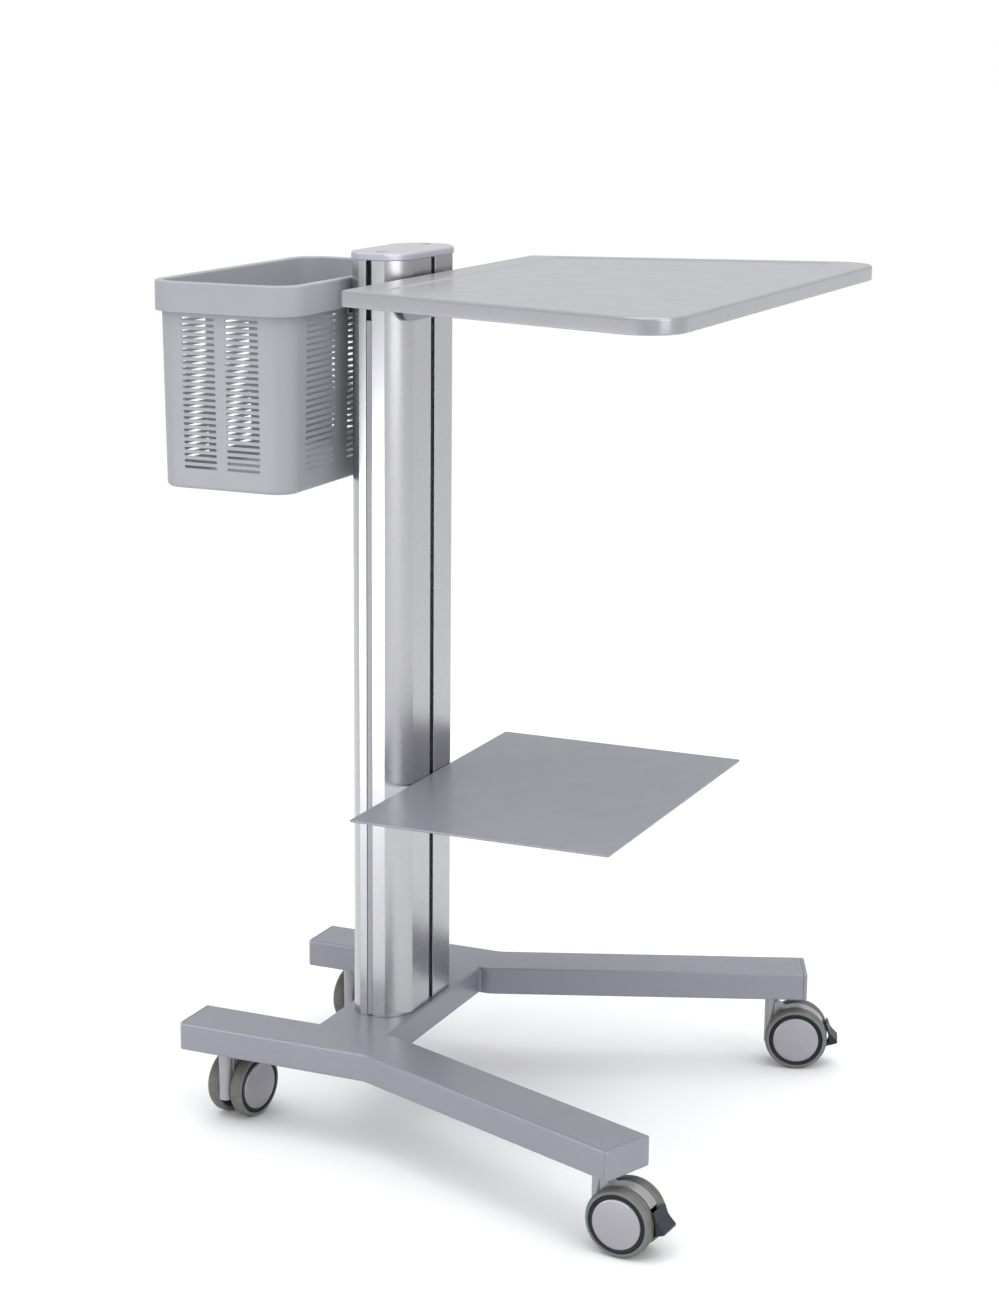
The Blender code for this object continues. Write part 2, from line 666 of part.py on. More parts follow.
def build_hood(name, swivel, plastic, with_tongue):
    """Silver housing: boss on the stem, web between the wheels, tongue and pin for the pedal."""
    top = LEG_BOTTOM - GAP - STEM_FLANGE_HEIGHT - GAP
    hood = add_object(f"{name}_caster_hood", turned([(BOSS_R, BOSS_BOTTOM), (BOSS_R, top)], 20),
                      plastic, swivel, smooth=True)
    web = side_prism(hood_outline(), HOOD_THICKNESS / 2)
    join(hood, add_object(f"{name}_hood_web", web, plastic, swivel))
    bore = prism(circle(STEM_R + RUNNING_GAP, PIN_SEGMENTS), STEM_FOOT - 0.001, top + 0.01)
    cut(hood, add_object(f"{name}_hood_bore", bore, plastic, swivel))
    add_pin_hole(hood, f"{name}_hood_axle_hole", AXLE_R + GAP, (TRAIL, WHEEL_R), swivel, plastic)
    if with_tongue:
        outline = [(TRAIL + forward, WHEEL_R + up) for forward, up in TONGUE]
        tongue = side_prism(outline, TONGUE_HALF)
        join(hood, add_object(f"{name}_hood_tongue", tongue, plastic, swivel))
        forward, up = pedal_pivot_place()
        pin = turned([(PEDAL_PIN_R, -PEDAL_PIN_HALF), (PEDAL_PIN_R, PEDAL_PIN_HALF)], PIN_SEGMENTS,
                     along_x=True)
        pin.transform(Matrix.Translation((0.0, -forward, up)))
        join(hood, add_object(f"{name}_hood_pin", pin, plastic, swivel))


def pedal_pivot_place():
    return TRAIL + PEDAL_PIVOT[0], WHEEL_R + PEDAL_PIVOT[1]


def build_wheel(name, axle, side, materials):
    """Core, tyre and hub cap; side is -1 or 1 along the axle."""
    inner = WHEEL_SPACE / 2
    outer = inner + WHEEL_WIDTH
    bore = AXLE_R + RUNNING_GAP
    cup = outer - 0.003
    core = [(bore, inner), (CORE_R, inner), (CORE_R, outer - 0.001), (HUB_CAP_R + GAP, outer - 0.001),
            (HUB_CAP_R + GAP, cup), (bore, cup)]
    seat = CORE_R + GAP
    tyre = [(seat, inner), (WHEEL_R - 0.003, inner), (WHEEL_R, inner + 0.004), (WHEEL_R, outer - 0.006),
            (WHEEL_R - 0.0025, outer - 0.0015), (seat, outer)]
    cap = [(HUB_CAP_R, cup + GAP), (HUB_CAP_R, outer), (HUB_CAP_R - 0.004, outer + 0.0016),
           (HUB_CAP_R * 0.4, outer + HUB_CAP_PROUD)]
    for part, profile, material, closed in (("core", core, materials["core"], True),
                                            ("tyre", tyre, materials["tyre"], True),
                                            ("hub_cap", cap, materials["silver"], False)):
        points = [(radius, side * position) for radius, position in profile]
        wheel_part = turned(points, WHEEL_SEGMENTS, along_x=True, closed=closed)
        add_object(f"{name}_{part}", wheel_part, material, axle, smooth=True)


def build_pedal(name, swivel, plastic):
    """Forked brake pedal, its origin on its pivot."""
    forward, up = pedal_pivot_place()
    pivot = add_empty(f"{name}_pedal_pivot", (0.0, -forward, up), parent=swivel)
    pieces = []
    for outline, width in ((PEDAL_ARM, PEDAL_ARM_WIDTH), (PEDAL_LEVER, PEDAL_ARM_WIDTH),
                           (PEDAL_STEP, PEDAL_STEP_WIDTH)):
        local = [(x - PEDAL_PIVOT[0], z - PEDAL_PIVOT[1]) for x, z in outline]
        pieces.append(side_prism(local, width / 2))
    pedal = add_object(f"{name}_brake_pedal", pieces[0], plastic, pivot)
    join(pedal, add_object(f"{name}_pedal_lever", pieces[1], plastic, pivot))
    join(pedal, add_object(f"{name}_pedal_step", pieces[2], plastic, pivot))
    beyond = 0.03
    fork = box((-FORK_HALF, PEDAL_PIVOT[0] - FORK_DEPTH, -beyond), (FORK_HALF, beyond, beyond))
    cut(pedal, add_object(f"{name}_pedal_fork", fork, plastic, pivot))
    add_pin_hole(pedal, f"{name}_pedal_pin_hole", PEDAL_PIN_R + RUNNING_GAP, (0.0, 0.0), pivot, plastic)


def build_casters(materials):
    for name, (side, front, heading) in CASTERS.items():
        place = stem_place(side, front)
        swivel = add_empty(f"{name}_swivel", (place.x, place.y, 0.0), math.radians(heading))
        build_stem(name, swivel, materials["steel"])
        build_hood(name, swivel, materials["silver"], front)
        axle_place = add_empty(f"{name}_axle_place", (0.0, -TRAIL, WHEEL_R), parent=swivel)
        reach = WHEEL_SPACE / 2 + WHEEL_WIDTH - 0.0035
        axle = turned([(AXLE_R, -reach), (AXLE_R, reach)], PIN_SEGMENTS, along_x=True)
        add_object(f"{name}_caster_axle", axle, materials["steel"], axle_place, smooth=True)
        build_wheel(f"{name}_wheel_a", axle_place, -1, materials)
        build_wheel(f"{name}_wheel_b", axle_place, 1, materials)
        if front:
            build_pedal(name, swivel, materials["pedal"])


# ---------------------------------------------------------------- stand

def main():
    clear_scene()
    paint = make_material("silver_grey_paint", (0.33, 0.33, 0.38), 0.42, 0.35)
    aluminium = make_material("satin_aluminium", (0.66, 0.67, 0.69), 0.30, 0.9)
    tray_finish = make_material("tray_silver", (0.48, 0.48, 0.51), 0.28, 0.5)
    basket_plastic = make_material("basket_plastic", (0.42, 0.45, 0.46), 0.55, 0.0)
    steel = make_material("zinc_steel", (0.60, 0.60, 0.62), 0.35, 1.0)
    materials = {
        "steel": steel,
        "silver": make_material("caster_silver", (0.50, 0.50, 0.54), 0.32, 0.6),
        "core": make_material("core_plastic", (0.035, 0.037, 0.045), 0.45, 0.0),
        "tyre": make_material("grey_tyre", (0.14, 0.15, 0.14), 0.65, 0.0),
        "pedal": make_material("pedal_plastic", (0.035, 0.035, 0.055), 0.40, 0.0),
    }
    build_base(paint)
    build_column(aluminium)
    build_column_ends(materials["silver"], steel)
    build_tray_group(tray_finish, paint, steel)
    build_shelf_group(paint, steel)
    build_basket(basket_plastic)
    build_hanger(paint)
    build_clips(basket_plastic)
    build_casters(materials)


main()
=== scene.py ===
import math

import bmesh
import bpy
from mathutils import Matrix, Vector


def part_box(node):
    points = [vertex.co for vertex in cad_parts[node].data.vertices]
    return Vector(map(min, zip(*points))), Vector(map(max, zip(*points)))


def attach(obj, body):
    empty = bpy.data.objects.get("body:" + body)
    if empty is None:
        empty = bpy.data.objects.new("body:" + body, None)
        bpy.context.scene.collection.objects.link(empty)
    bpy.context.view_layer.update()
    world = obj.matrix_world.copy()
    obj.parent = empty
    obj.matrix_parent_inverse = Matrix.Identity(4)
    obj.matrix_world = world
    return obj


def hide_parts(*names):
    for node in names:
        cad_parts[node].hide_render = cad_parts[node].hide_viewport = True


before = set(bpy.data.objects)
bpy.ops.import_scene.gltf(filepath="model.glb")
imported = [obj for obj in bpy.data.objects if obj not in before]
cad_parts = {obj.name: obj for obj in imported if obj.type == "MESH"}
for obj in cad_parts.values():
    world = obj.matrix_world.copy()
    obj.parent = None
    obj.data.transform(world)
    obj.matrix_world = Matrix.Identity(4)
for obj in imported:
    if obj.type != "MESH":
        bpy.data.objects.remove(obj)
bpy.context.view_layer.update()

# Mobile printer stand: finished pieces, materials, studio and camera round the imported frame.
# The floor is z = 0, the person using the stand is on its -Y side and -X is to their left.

# ---------------------------------------------------------------- camera

CAMERA_PLACE = (-2.7256, -1.2028, 1.2326)
CAMERA_HEADING = -1.158
CAMERA_DIP = 0.2256
CAMERA_ROLL = 0.009
CAMERA_LENS = 75.73


def place_camera():
    camera_data = bpy.data.cameras.new("camera")
    camera_data.lens = CAMERA_LENS
    camera_data.sensor_width = 36.0
    camera_data.clip_end = 200.0
    camera = bpy.data.objects.new("camera", camera_data)
    bpy.context.scene.collection.objects.link(camera)
    camera.matrix_world = (Matrix.Translation(CAMERA_PLACE) @ Matrix.Rotation(CAMERA_HEADING, 4, "Z")
                           @ Matrix.Rotation(math.pi / 2 - CAMERA_DIP, 4, "X")
                           @ Matrix.Rotation(CAMERA_ROLL, 4, "Z"))
    bpy.context.scene.camera = camera


place_camera()


# ---------------------------------------------------------------- node helpers

def new_group(name, inputs, outputs):
    """Shader node group with (name, kind, value) inputs and (name, kind) outputs."""
    group = bpy.data.node_groups.new(name, "ShaderNodeTree")
    for label, kind, value in inputs:
        socket = group.interface.new_socket(name=label, in_out="INPUT", socket_type="NodeSocket" + kind)
        socket.default_value = value
    for label, kind in outputs:
        group.interface.new_socket(name=label, in_out="OUTPUT", socket_type="NodeSocket" + kind)
    return group, group.nodes.new("NodeGroupInput").outputs, group.nodes.new("NodeGroupOutput").inputs


def feed(tree, socket, value):
    """Give a socket a plain value, or link the output that feeds it."""
    if isinstance(value, bpy.types.NodeSocket):
        tree.links.new(value, socket)
    else:
        socket.default_value = value


def add_node(tree, kind, sockets=None, **settings):
    """Node whose sockets are given as plain values or as the outputs that feed them."""
    node = tree.nodes.new("ShaderNode" + kind)
    for label, value in settings.items():
        setattr(node, label, value)
    for label, value in (sockets or {}).items():
        feed(tree, node.inputs[label], value)
    return node


def maths(tree, operation, first, second=0.0, clamp=False):
    return add_node(tree, "Math", {0: first, 1: second}, operation=operation, use_clamp=clamp).outputs[0]


def blended(tree, factor, first, second):
    """Mix of two colours."""
    return add_node(tree, "Mix", {0: factor, 6: first, 7: second}, data_type="RGBA").outputs[2]


def ranged(tree, value, low, high, new_low, new_high):
    return add_node(tree, "MapRange", {0: value, 1: low, 2: high, 3: new_low, 4: new_high}).outputs[0]


def own_place(tree, stretch=(1.0, 1.0, 1.0)):
    """Position on the piece itself, scaled on each axis."""
    place = add_node(tree, "TexCoord").outputs["Object"]
    return add_node(tree, "Mapping", {"Vector": place, "Scale": stretch}).outputs[0]


def noise(tree, scale, detail, roughness=0.5, stretch=(1.0, 1.0, 1.0)):
    """Soft noise on the piece itself."""
    return add_node(tree, "TexNoise", {"Vector": own_place(tree, stretch), "Scale": scale,
                                       "Detail": detail, "Roughness": roughness}).outputs[0]


def swung(tree, value, amount):
    """How far a value is from its middle, times an amount."""
    return maths(tree, "MULTIPLY", maths(tree, "SUBTRACT", value, 0.5), amount)


def toned(tree, colour, swing):
    """Colour made lighter or darker by a swing round zero."""
    gain = maths(tree, "ADD", 1.0, swing)
    return add_node(tree, "VectorMath", {0: colour, "Scale": gain}, operation="SCALE").outputs[0]


# ---------------------------------------------------------------- shared surface effects

def build_mottle():
    """Soft uneven tone, as sprayed or moulded surfaces have."""
    group, given, out = new_group(
        "mottle", [("Scale", "Float", 20.0), ("Amount", "Float", 0.05), ("Color", "Color", (1, 1, 1, 1))],
        [("Color", "Color"), ("Value", "Float")])
    broad = noise(group, given["Scale"], 5.0, 0.6)
    swing = maths(group, "MULTIPLY", swung(group, broad, given["Amount"]), 2.0)
    group.links.new(toned(group, given["Color"], swing), out["Color"])
    group.links.new(broad, out["Value"])
    return group


def build_flakes():
    """Fine metal flakes in a silver finish: tone that sparkles, and a height for the grain."""
    group, given, out = new_group(
        "metal_flakes", [("Scale", "Float", 1400.0), ("Amount", "Float", 0.1),
                         ("Color", "Color", (1, 1, 1, 1))],
        [("Color", "Color"), ("Height", "Float")])
    cells = add_node(group, "TexVoronoi", {"Vector": own_place(group), "Scale": given["Scale"]})
    tone = add_node(group, "SeparateColor", {0: cells.outputs["Color"]}).outputs[0]
    swing = swung(group, tone, given["Amount"])
    group.links.new(toned(group, given["Color"], swing), out["Color"])
    group.links.new(tone, out["Height"])
    return group


def build_drawn_lines():
    """Long fine lines that an extrusion die leaves along Z."""
    group, given, out = new_group(
        "drawn_lines", [("Density", "Float", 900.0), ("Amount", "Float", 0.1),
                        ("Color", "Color", (1, 1, 1, 1))],
        [("Color", "Color"), ("Height", "Float")])
    fine = noise(group, given["Density"], 3.0, stretch=(1.0, 1.0, 0.004))
    broad = noise(group, 140.0, 2.0, stretch=(1.0, 1.0, 0.012))
    both = maths(group, "ADD", maths(group, "MULTIPLY", fine, 0.5), maths(group, "MULTIPLY", broad, 0.5))
    swing = swung(group, both, given["Amount"])
    group.links.new(toned(group, given["Color"], swing), out["Color"])
    group.links.new(both, out["Height"])
    return group


def build_worn_and_highlit_edges():
    """Mask of the outer edges, where handling polishes a finish and where a painted highlight lightens
    them.
    """
    group, given, out = new_group(
        "worn_and_highlit_edges", [("Radius", "Float", 0.001), ("Breakup", "Float", 60.0)], [("Mask", "Float")])
    softened = add_node(group, "Bevel", {"Radius": given["Radius"]}, samples=4).outputs[0]
    plain = add_node(group, "NewGeometry").outputs["Normal"]
    agreement = add_node(group, "VectorMath", {0: softened, 1: plain}, operation="DOT_PRODUCT")
    edge = ranged(group, agreement.outputs["Value"], 0.995, 0.90, 0.0, 1.0)
    patches = noise(group, given["Breakup"], 4.0)
    mask = maths(group, "MULTIPLY", edge, ranged(group, patches, 0.35, 0.65, 0.25, 1.0), clamp=True)
    group.links.new(mask, out["Mask"])
    return group


def build_dust():
    """Thin dust that settles on surfaces facing up, thicker in soft patches."""
    group, given, out = new_group(
        "settled_dust", [("Amount", "Float", 0.1), ("Color", "Color", (1, 1, 1, 1)),
                         ("Roughness", "Float", 0.4)], [("Color", "Color"), ("Roughness", "Float")])
    upward = add_node(group, "SeparateXYZ", {0: add_node(group, "TexCoord").outputs["Normal"]}).outputs[2]
    facing = ranged(group, upward, 0.3, 0.95, 0.0, 1.0)
    patches = noise(group, 28.0, 6.0, 0.7)
    thickness = ranged(group, patches, 0.3, 0.75, 0.3, 1.0)
    amount = maths(group, "MULTIPLY", maths(group, "MULTIPLY", facing, thickness), given["Amount"])
    group.links.new(blended(group, amount, given["Color"], (0.50, 0.49, 0.47, 1.0)), out["Color"])
    rougher = maths(group, "ADD", given["Roughness"], maths(group, "MULTIPLY", amount, 0.5), clamp=True)
    group.links.new(rougher, out["Roughness"])
    return group


def build_moulded_skin():
    """Spark-eroded texture of a moulding: a fine, even height and a small swing in roughness."""
    group, given, out = new_group(
        "moulded_skin", [("Scale", "Float", 1800.0), ("Roughness", "Float", 0.5), ("Swing", "Float", 0.1)],
        [("Roughness", "Float"), ("Height", "Float")])
    grain = noise(group, given["Scale"], 2.0)
    swing = swung(group, noise(group, 35.0, 4.0), given["Swing"])
    group.links.new(maths(group, "ADD", given["Roughness"], swing, clamp=True), out["Roughness"])
    group.links.new(grain, out["Height"])
    return group


MOTTLE = build_mottle()
FLAKES = build_flakes()
DRAWN_LINES = build_drawn_lines()
WORN_AND_HIGHLIT_EDGES = build_worn_and_highlit_edges()
DUST = build_dust()
MOULDED_SKIN = build_moulded_skin()


# ---------------------------------------------------------------- materials

def use_group(tree, group, **values):
    """Place a shared effect in a material with this material's own values."""
    node = tree.nodes.new("ShaderNodeGroup")
    node.node_tree = group
    for label, value in values.items():
        feed(tree, node.inputs[label], value)
    return node.outputs


def start_material(name, metallic=0.0, coat=0.0, coat_roughness=0.1, specular=0.5):
    material = bpy.data.materials.new(name)
    material.use_nodes = True
    tree = material.node_tree
    shader = tree.nodes["Principled BSDF"]
    for label, value in (("Metallic", metallic), ("Coat Weight", coat), ("Coat Roughness", coat_roughness),
                         ("Specular IOR Level", specular)):
        shader.inputs[label].default_value = value
    return material, tree, shader


def finish_surface(tree, shader, colour, roughness, height, bump_distance, bump_strength=1.0):
    tree.links.new(colour, shader.inputs["Base Color"])
    tree.links.new(roughness, shader.inputs["Roughness"])
    bump = add_node(tree, "Bump", {"Height": height, "Distance": bump_distance, "Strength": bump_strength})
    tree.links.new(bump.outputs[0], shader.inputs["Normal"])


def dusty_surface(tree, shader, dust, colour, roughness, *relief):
    dusted = use_group(tree, DUST, Amount=dust, Color=colour, Roughness=roughness)
    finish_surface(tree, shader, dusted["Color"], dusted["Roughness"], *relief)


def make_silver_paint(name, colour, metallic, roughness, flakes, wear_and_highlight, dust, coat):
    """Silver enamel: flakes under a thin clear layer, lighter along the edges, partly for handling wear and
    partly as a painted highlight.
    """
    material, tree, shader = start_material(name, metallic, coat, 0.12)
    tone = use_group(tree, MOTTLE, Scale=9.0, Amount=0.05, Color=colour)
    sparkle = use_group(tree, FLAKES, Scale=1500.0, Amount=flakes, Color=tone["Color"])
    edges = use_group(tree, WORN_AND_HIGHLIT_EDGES, Radius=0.0012, Breakup=45.0)
    # Edges lightened towards a paler silver: partly handling wear, partly a painted highlight.
    worn_and_highlit = blended(tree, maths(tree, "MULTIPLY", edges["Mask"], wear_and_highlight), sparkle["Color"],
                   tuple(min(1.0, c * 1.7) for c in colour[:3]) + (1.0,))
    skin = use_group(tree, MOULDED_SKIN, Scale=700.0, Roughness=roughness, Swing=0.12)
    dusty_surface(tree, shader, dust, worn_and_highlit, skin["Roughness"], skin["Height"], 0.00006)
    return material


def make_aluminium():
    """Satin anodised extrusion with its drawn lines."""
    material, tree, shader = start_material("satin_anodised_aluminium", metallic=1.0)
    tone = use_group(tree, MOTTLE, Scale=3.0, Amount=0.02, Color=(0.42, 0.42, 0.438, 1.0))
    lines = use_group(tree, DRAWN_LINES, Density=1100.0, Amount=0.07, Color=tone["Color"])
    skin = use_group(tree, MOULDED_SKIN, Scale=2400.0, Roughness=0.27, Swing=0.06)
    dusty_surface(tree, shader, 0.3, lines["Color"], skin["Roughness"], lines["Height"], 0.000002, 0.3)
    return material


def make_plastic(name, colour, roughness, swing=0.1, grain=1700.0, distance=0.00005, metallic=0.0,
                 wear_and_highlight=0.25, dust=0.15, flakes=0.0, coat=0.0, specular=0.5):
    """Moulded plastic with spark-eroded grain, edges lightened partly by rubbing wear and partly as a
    painted highlight, and a little dust.
    """
    material, tree, shader = start_material(name, metallic, coat, specular=specular)
    tone = use_group(tree, MOTTLE, Scale=14.0, Amount=0.04, Color=colour)
    surface = tone["Color"]
    if flakes:
        surface = use_group(tree, FLAKES, Scale=1900.0, Amount=flakes, Color=surface)["Color"]
    edges = use_group(tree, WORN_AND_HIGHLIT_EDGES, Radius=0.0008, Breakup=80.0)
    # Paler edge colour: partly rubbing wear, partly a painted highlight.
    lighter = tuple(min(1.0, c * 1.35 + 0.01) for c in colour[:3]) + (1.0,)
    rubbed_and_highlit = blended(tree, maths(tree, "MULTIPLY", edges["Mask"], wear_and_highlight), surface, lighter)
    skin = use_group(tree, MOULDED_SKIN, Scale=grain, Roughness=roughness, Swing=swing)
    dusty_surface(tree, shader, dust, rubbed_and_highlit, skin["Roughness"], skin["Height"], distance)
    return material


def make_tyre():
    """Grey rubber: cooler on the sidewalls, browner and scuffed round the tread."""
    material, tree, shader = start_material("grey_rubber_tyre", specular=0.35)
    across = add_node(tree, "SeparateXYZ", {0: add_node(tree, "TexCoord").outputs["Normal"]}).outputs[0]
    sidewall = ranged(tree, maths(tree, "ABSOLUTE", across), 0.35, 0.8, 0.0, 1.0)
    scuffs = noise(tree, 160.0, 6.0, 0.7)
    tread = blended(tree, ranged(tree, scuffs, 0.35, 0.7, 0.0, 1.0), (0.105, 0.100, 0.084, 1.0),
                    (0.155, 0.146, 0.124, 1.0))
    colour = blended(tree, sidewall, tread, (0.140, 0.168, 0.168, 1.0))
    tone = use_group(tree, MOTTLE, Scale=60.0, Amount=0.08, Color=colour)
    skin = use_group(tree, MOULDED_SKIN, Scale=1500.0, Roughness=0.55, Swing=0.15)
    finish_surface(tree, shader, tone["Color"], skin["Roughness"], skin["Height"], 0.00008)
    return material


# Enamels: colour, metallic, roughness, flakes, edge wear and painted highlight, dust, coat
PAINT = make_silver_paint("silver_grey_enamel", (0.245, 0.245, 0.285, 1.0),
                          0.25, 0.36, 0.10, 0.60, 0.10, 0.15)
TRAY_SILVER = make_silver_paint("tray_silver_enamel", (0.300, 0.300, 0.320, 1.0),
                                0.45, 0.30, 0.16, 0.35, 0.06, 0.3)
BRACKET_SILVER = make_silver_paint("bracket_silver_enamel", (0.270, 0.270, 0.290, 1.0),
                                   0.4, 0.32, 0.12, 0.3, 0.05, 0.2)
ALUMINIUM = make_aluminium()
BASKET_PLASTIC = make_plastic("basket_grey_plastic", (0.325, 0.330, 0.355, 1.0), 0.50)
SLOT_COVER = make_plastic("slot_cover_grey_plastic", (0.30, 0.31, 0.33, 1.0), 0.45)
CAP_SILVER = make_plastic("cap_silver_plastic", (0.43, 0.42, 0.47, 1.0), 0.33, metallic=0.4, flakes=0.1)
CASTER_SILVER = make_plastic("caster_silver_plastic", (0.325, 0.322, 0.345, 1.0), 0.30,
                             metallic=0.45, flakes=0.12, coat=0.2)
CORE_PLASTIC = make_plastic("wheel_core_plastic", (0.012, 0.014, 0.018, 1.0), 0.50,
                            grain=2200.0, dust=0.03, specular=0.3)
PEDAL_PLASTIC = make_plastic("pedal_dark_plastic", (0.012, 0.012, 0.022, 1.0), 0.48,
                             wear_and_highlight=0.3, dust=0.05, specular=0.35)
ZINC = make_plastic("zinc_plated_steel", (0.60, 0.60, 0.61, 1.0), 0.33,
                    metallic=1.0, grain=900.0, dust=0.0)
TYRE = make_tyre()


# ---------------------------------------------------------------- mesh helpers

def loft(loops, closed=False):
    """Join equal loops of points in order; ends are filled, or the last loop meets the first."""
    builder = bmesh.new()
    rings = [[builder.verts.new(point) for point in loop] for loop in loops]
    pairs = list(zip(rings, rings[1:]))
    if closed:
        pairs.append((rings[-1], rings[0]))
    for lower, upper in pairs:
        for i in range(len(lower)):
            j = (i + 1) % len(lower)
            builder.faces.new((lower[i], lower[j], upper[j], upper[i]))
    if not closed:
        builder.faces.new(rings[0])
        builder.faces.new(rings[-1])
    return builder


def at_height(outline, z):
    return [Vector((x, y, z)) for x, y in outline]


def filleted(points, radii, steps=4, closed=True):
    """Outline whose corners become arcs; radii is one number or one for each corner."""
    outline = []
    count = len(points)
    for i, point in enumerate(points):
        radius = radii[i] if isinstance(radii, (list, tuple)) else radii
        here = Vector(point)
        before = Vector(points[i - 1]) - here
        after = Vector(points[(i + 1) % count]) - here
        if not radius or (not closed and i in (0, count - 1)):
            outline.append(tuple(here))
            continue
        half_angle = before.angle(after) / 2
        reach = min(radius / math.tan(half_angle), 0.49 * before.length, 0.49 * after.length)
        radius = reach * math.tan(half_angle)
        before.normalize()
        after.normalize()
        centre = here + (before + after).normalized() * radius / math.sin(half_angle)
        start = (here + before * reach - centre).normalized()
        end = (here + after * reach - centre).normalized()
        for k in range(steps + 1):
            outline.append(tuple(centre + start.slerp(end, k / steps).normalized() * radius))
    return outline


def quarter_turn(steps):
    """(1 - cos, 1 - sin) at even steps through a right angle, for rounding an edge."""
    angles = [math.pi / 2 * k / steps for k in range(steps + 1)]
    return [(1 - math.cos(angle), 1 - math.sin(angle)) for angle in angles]


def moved(builder, x, y, z):
    builder.transform(Matrix.Translation((x, y, z)))
    return builder


def soften(builder, width, segments=3, angle=35.0):
    """Round every edge that is sharper than an angle."""
    bmesh.ops.recalc_face_normals(builder, faces=builder.faces)
    limit = math.radians(angle)
    edges = [e for e in builder.edges if e.is_manifold and e.calc_face_angle() > limit]
    bmesh.ops.bevel(builder, geom=edges, offset=width, offset_type="OFFSET", segments=segments,
                    profile=0.5, affect="EDGES", clamp_overlap=True)
    return builder


def side_prism(outline, half_width):
    """Solid whose (forward, up) outline is drawn in the -Y, Z plane and runs along X."""
    return loft([[Vector((x, -forward, up)) for forward, up in outline] for x in (-half_width, half_width)])


def ring(radius, segments, position, axis="Z"):
    """Circle of points about an axis at a position on it."""
    points = []
    for i in range(segments):
        angle = 2 * math.pi * i / segments
        a, b = radius * math.cos(angle), radius * math.sin(angle)
        points.append(Vector({"X": (position, a, b), "Y": (a, position, b), "Z": (a, b, position)}[axis]))
    return points


def turned(profile, segments=64, axis="Z", closed=False):
    """Turn (radius, position) points about an axis."""
    return loft([ring(radius, segments, position, axis) for radius, position in profile], closed=closed)


def add_mesh(name, builder, sharp_angle=42.0):
    """Object from a bmesh, shaded smooth apart from its sharp edges."""
    bmesh.ops.recalc_face_normals(builder, faces=builder.faces)
    limit = math.radians(sharp_angle)
    for face in builder.faces:
        face.smooth = True
    for edge in builder.edges:
        edge.smooth = not edge.is_manifold or edge.calc_face_angle() < limit
    mesh = bpy.data.meshes.new(name)
    builder.to_mesh(mesh)
    builder.free()
    piece = bpy.data.objects.new(name, mesh)
    bpy.context.scene.collection.objects.link(piece)
    return piece


def add_piece(name, builder, material, body, nodes=(), place=None, sharp_angle=42.0):
    """Finished piece that rides on a body and stands for some of the frame's nodes."""
    piece = add_mesh(name, builder, sharp_angle)
    piece.data.materials.append(material)
    if place is not None:
        piece.matrix_world = place
    weighted = piece.modifiers.new("even_shading", "WEIGHTED_NORMAL")
    weighted.keep_sharp = True
    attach(piece, body)
    if nodes:
        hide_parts(*nodes)
    return piece


def combine(first, second, operation="UNION"):
    """One solid from two, by union or difference."""
    objects = [add_mesh("combine_part", builder) for builder in (first, second)]
    modifier = objects[0].modifiers.new("combine", "BOOLEAN")
    modifier.operation = operation
    modifier.object = objects[1]
    bpy.context.view_layer.update()
    evaluated = objects[0].evaluated_get(bpy.context.evaluated_depsgraph_get())
    result = bmesh.new()
    result.from_mesh(evaluated.to_mesh())
    evaluated.to_mesh_clear()
    for spare in objects:
        mesh = spare.data
        bpy.data.objects.remove(spare)
        bpy.data.meshes.remove(mesh)
    return result


def middle_of(node):
    low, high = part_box(node)
    return (low + high) / 2


def size_of(node):
    low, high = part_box(node)
    return high - low


# ---------------------------------------------------------------- base

GAP = 0.0003
COLUMN_AXIS_OFFSET = 0.0025      # the extrusion's box reaches this much further behind its axis
COLUMN_Y = middle_of("column").y - COLUMN_AXIS_OFFSET
LEG_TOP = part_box("leg_left")[1].z
LEG_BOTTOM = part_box("leg_left")[0].z
LEG_REAR_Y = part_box("leg_left_rear_cap")[1].y
LEG_OUTER_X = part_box("leg_right_rear_cap")[1].x
TUBE_WIDTH = size_of("leg_left_rear_cap").x
LEG_BEND_Y = COLUMN_Y - 0.040
LEG_SPLAY = math.radians(21.7)
LEG_FRONT_LENGTH = 0.3703
TUBE_CORNER = 0.0028
END_ROUND = 0.0026
END_FLAT_ROUND = 0.0018
CAP_FRONT = 0.0045               # how much of a tube's front end belongs to its moulded cap
CAP_REAR = 0.0020
BEND_ROUND = 0.006
WELD_SINK = 0.004                # how far the cross member runs into each leg


def tube_loop(origin, sideways, side_inset=0.0, up_inset=0.0):
    """Rounded cross-section of the base tube, standing across it."""
    half = TUBE_WIDTH / 2 - side_inset
    low, high = LEG_BOTTOM + up_inset, LEG_TOP - up_inset
    corners = [(-half, low), (half, low), (half, high), (-half, high)]
    return [Vector((origin.x + sideways.x * u, origin.y + sideways.y * u, z))
            for u, z in filleted(corners, max(TUBE_CORNER - up_inset * 0.8, 0.0008), steps=5)]


def rounded_end(origin, sideways, outward, end_round, flat_round):
    """Loops that round off an end, from the straight part outwards."""
    loops = []
    for across, along in quarter_turn(6):
        back = end_round * along
        low = max(0.0, flat_round - back)
        loops.append(tube_loop(origin - outward * back, sideways, end_round * across,
                               flat_round - math.sqrt(flat_round ** 2 - low ** 2)))
    return loops


def build_end_cap(name, node, end, sideways, outward, length):
    """Moulded cap on a tube's end, with a fine seam where it meets the tube."""
    start = end - outward * length
    loops = rounded_end(start, sideways, -outward, 0.0004, 0.0004)[::-1]
    loops += rounded_end(end, sideways, outward, END_ROUND, END_FLAT_ROUND)
    add_piece(name, loft(loops), PAINT, "base", [node])


